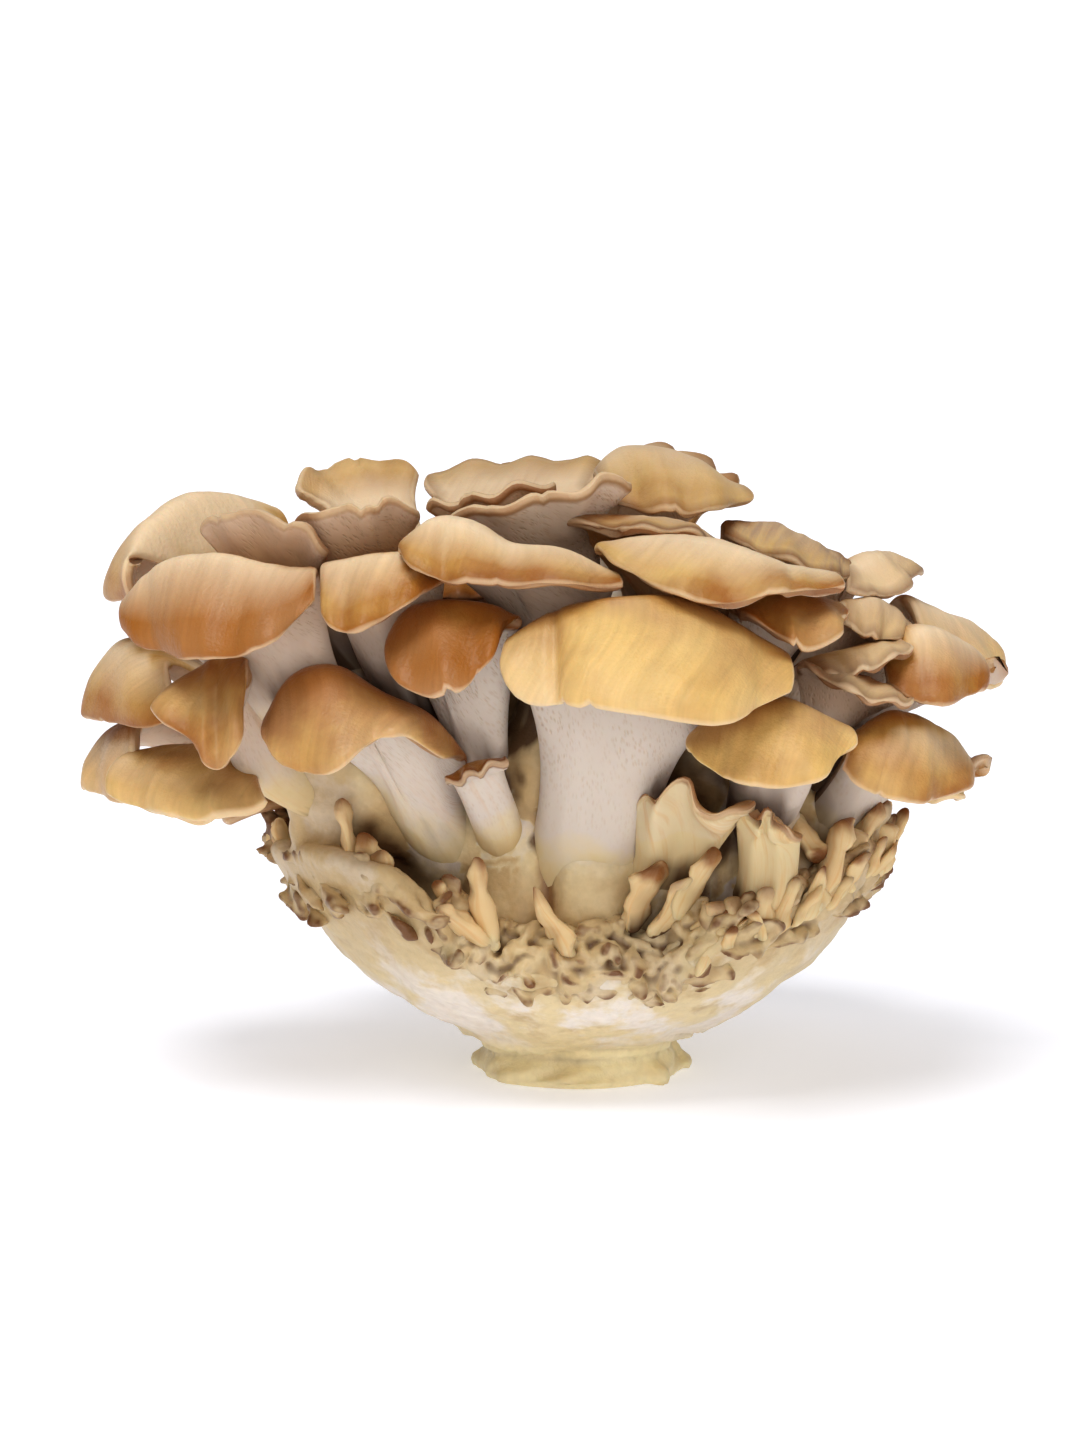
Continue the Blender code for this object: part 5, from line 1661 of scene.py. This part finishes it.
class BuildBuds(bpy.types.Operator):
    """Build the finger-like buds among the folds of the rim"""

    bl_idname = "maitake.buds"
    bl_label = "Rim buds"

    def execute(self, context):
        bud_piece(flesh_and_skin(context.scene))
        return {"FINISHED"}


# Far soft lights: where each shines from, how many degrees across it is, and its strength. The
# white tent round them shines from every side.
LIGHTS = [
    ("key", (-0.25, -0.6, 1.3), 30.0, 1.45),
    ("fill", (0.2, -0.95, 0.1), 50.0, 1.05),
    ("back", (0.1, 0.5, 1.2), 45.0, 0.4),
]
TENT_LIGHT = 0.25


def add_light(name, place, spread, power):
    """A far soft light that shines from this place to the middle, this many degrees across."""
    light = bpy.data.lights.new(name, "SUN")
    light.angle = math.radians(spread)
    light.energy = power
    lamp = bpy.data.objects.new(name, light)
    bpy.context.scene.collection.objects.link(lamp)
    lamp.location = place
    lamp.rotation_euler = (-Vector(place)).to_track_quat("-Z", "Y").to_euler()


class BuildStage(bpy.types.Operator):
    """Build the paper floor, the soft light and the camera"""

    bl_idname = "maitake.stage"
    bl_label = "Stage, light and camera"

    def execute(self, context):
        scene = context.scene
        bm = bmesh.new()
        bmesh.ops.create_circle(bm, cap_ends=True, segments=96, radius=scene.maitake_sizes.floor)
        mesh = finished(bm, "floor")
        mesh.materials.append(paper_material(scene.maitake_colours))
        floor = bpy.data.objects.new("floor", mesh)
        scene.collection.objects.link(floor)

        world = bpy.data.worlds.new("light_tent")
        scene.world = world
        world.use_nodes = True
        background = world.node_tree.nodes["Background"]
        set_inputs(background, {"Color": (1.0, 1.0, 1.0, 1.0), "Strength": TENT_LIGHT})
        for light in LIGHTS:
            add_light(*light)

        camera = bpy.data.cameras.new("camera")
        camera.sensor_fit = "VERTICAL"
        camera.sensor_height = 36.0
        camera.lens = camera.sensor_height * VIEW_DISTANCE / VIEW_HEIGHT
        camera.clip_start = 0.05
        camera.clip_end = 1000.0
        eye = bpy.data.objects.new("camera", camera)
        scene.collection.objects.link(eye)
        back = Vector((0.0, -math.cos(VIEW_TILT), math.sin(VIEW_TILT)))
        eye.location = (VIEW_AIM + back * VIEW_DISTANCE) * MM
        eye.rotation_euler = (-back).to_track_quat("-Z", "Y").to_euler()
        scene.camera = eye
        scene.view_settings.view_transform = "Standard"
        scene.view_settings.look = "Medium High Contrast"
        return {"FINISHED"}


OPERATORS = (BuildFrontFronds, BuildBackFronds, BuildBase, BuildCrinkles, BuildBuds, BuildStage)


class MaitakePanel(bpy.types.Panel):
    bl_idname = "VIEW3D_PT_maitake"
    bl_label = "Maitake"
    bl_space_type = "VIEW_3D"
    bl_region_type = "UI"
    bl_category = "Maitake"

    def draw(self, context):
        for group in (context.scene.maitake_sizes, context.scene.maitake_colours):
            for name in group.bl_rna.properties.keys():
                if name not in ("rna_type", "name"):
                    self.layout.prop(group, name)
        for operator in OPERATORS:
            self.layout.operator(operator.bl_idname)


CLASSES = (MaitakeSizes, MaitakeColours, *OPERATORS, MaitakePanel)


def register():
    for item in CLASSES:
        bpy.utils.register_class(item)
    bpy.types.Scene.maitake_sizes = bpy.props.PointerProperty(type=MaitakeSizes)
    bpy.types.Scene.maitake_colours = bpy.props.PointerProperty(type=MaitakeColours)


def unregister():
    del bpy.types.Scene.maitake_sizes
    del bpy.types.Scene.maitake_colours
    for item in reversed(CLASSES):
        bpy.utils.unregister_class(item)


def main():
    register()
    bpy.ops.maitake.front_fronds()
    bpy.ops.maitake.back_fronds()
    bpy.ops.maitake.base()
    bpy.ops.maitake.crinkles()
    bpy.ops.maitake.buds()
    bpy.ops.maitake.stage()


if __name__ == "__main__":
    main()
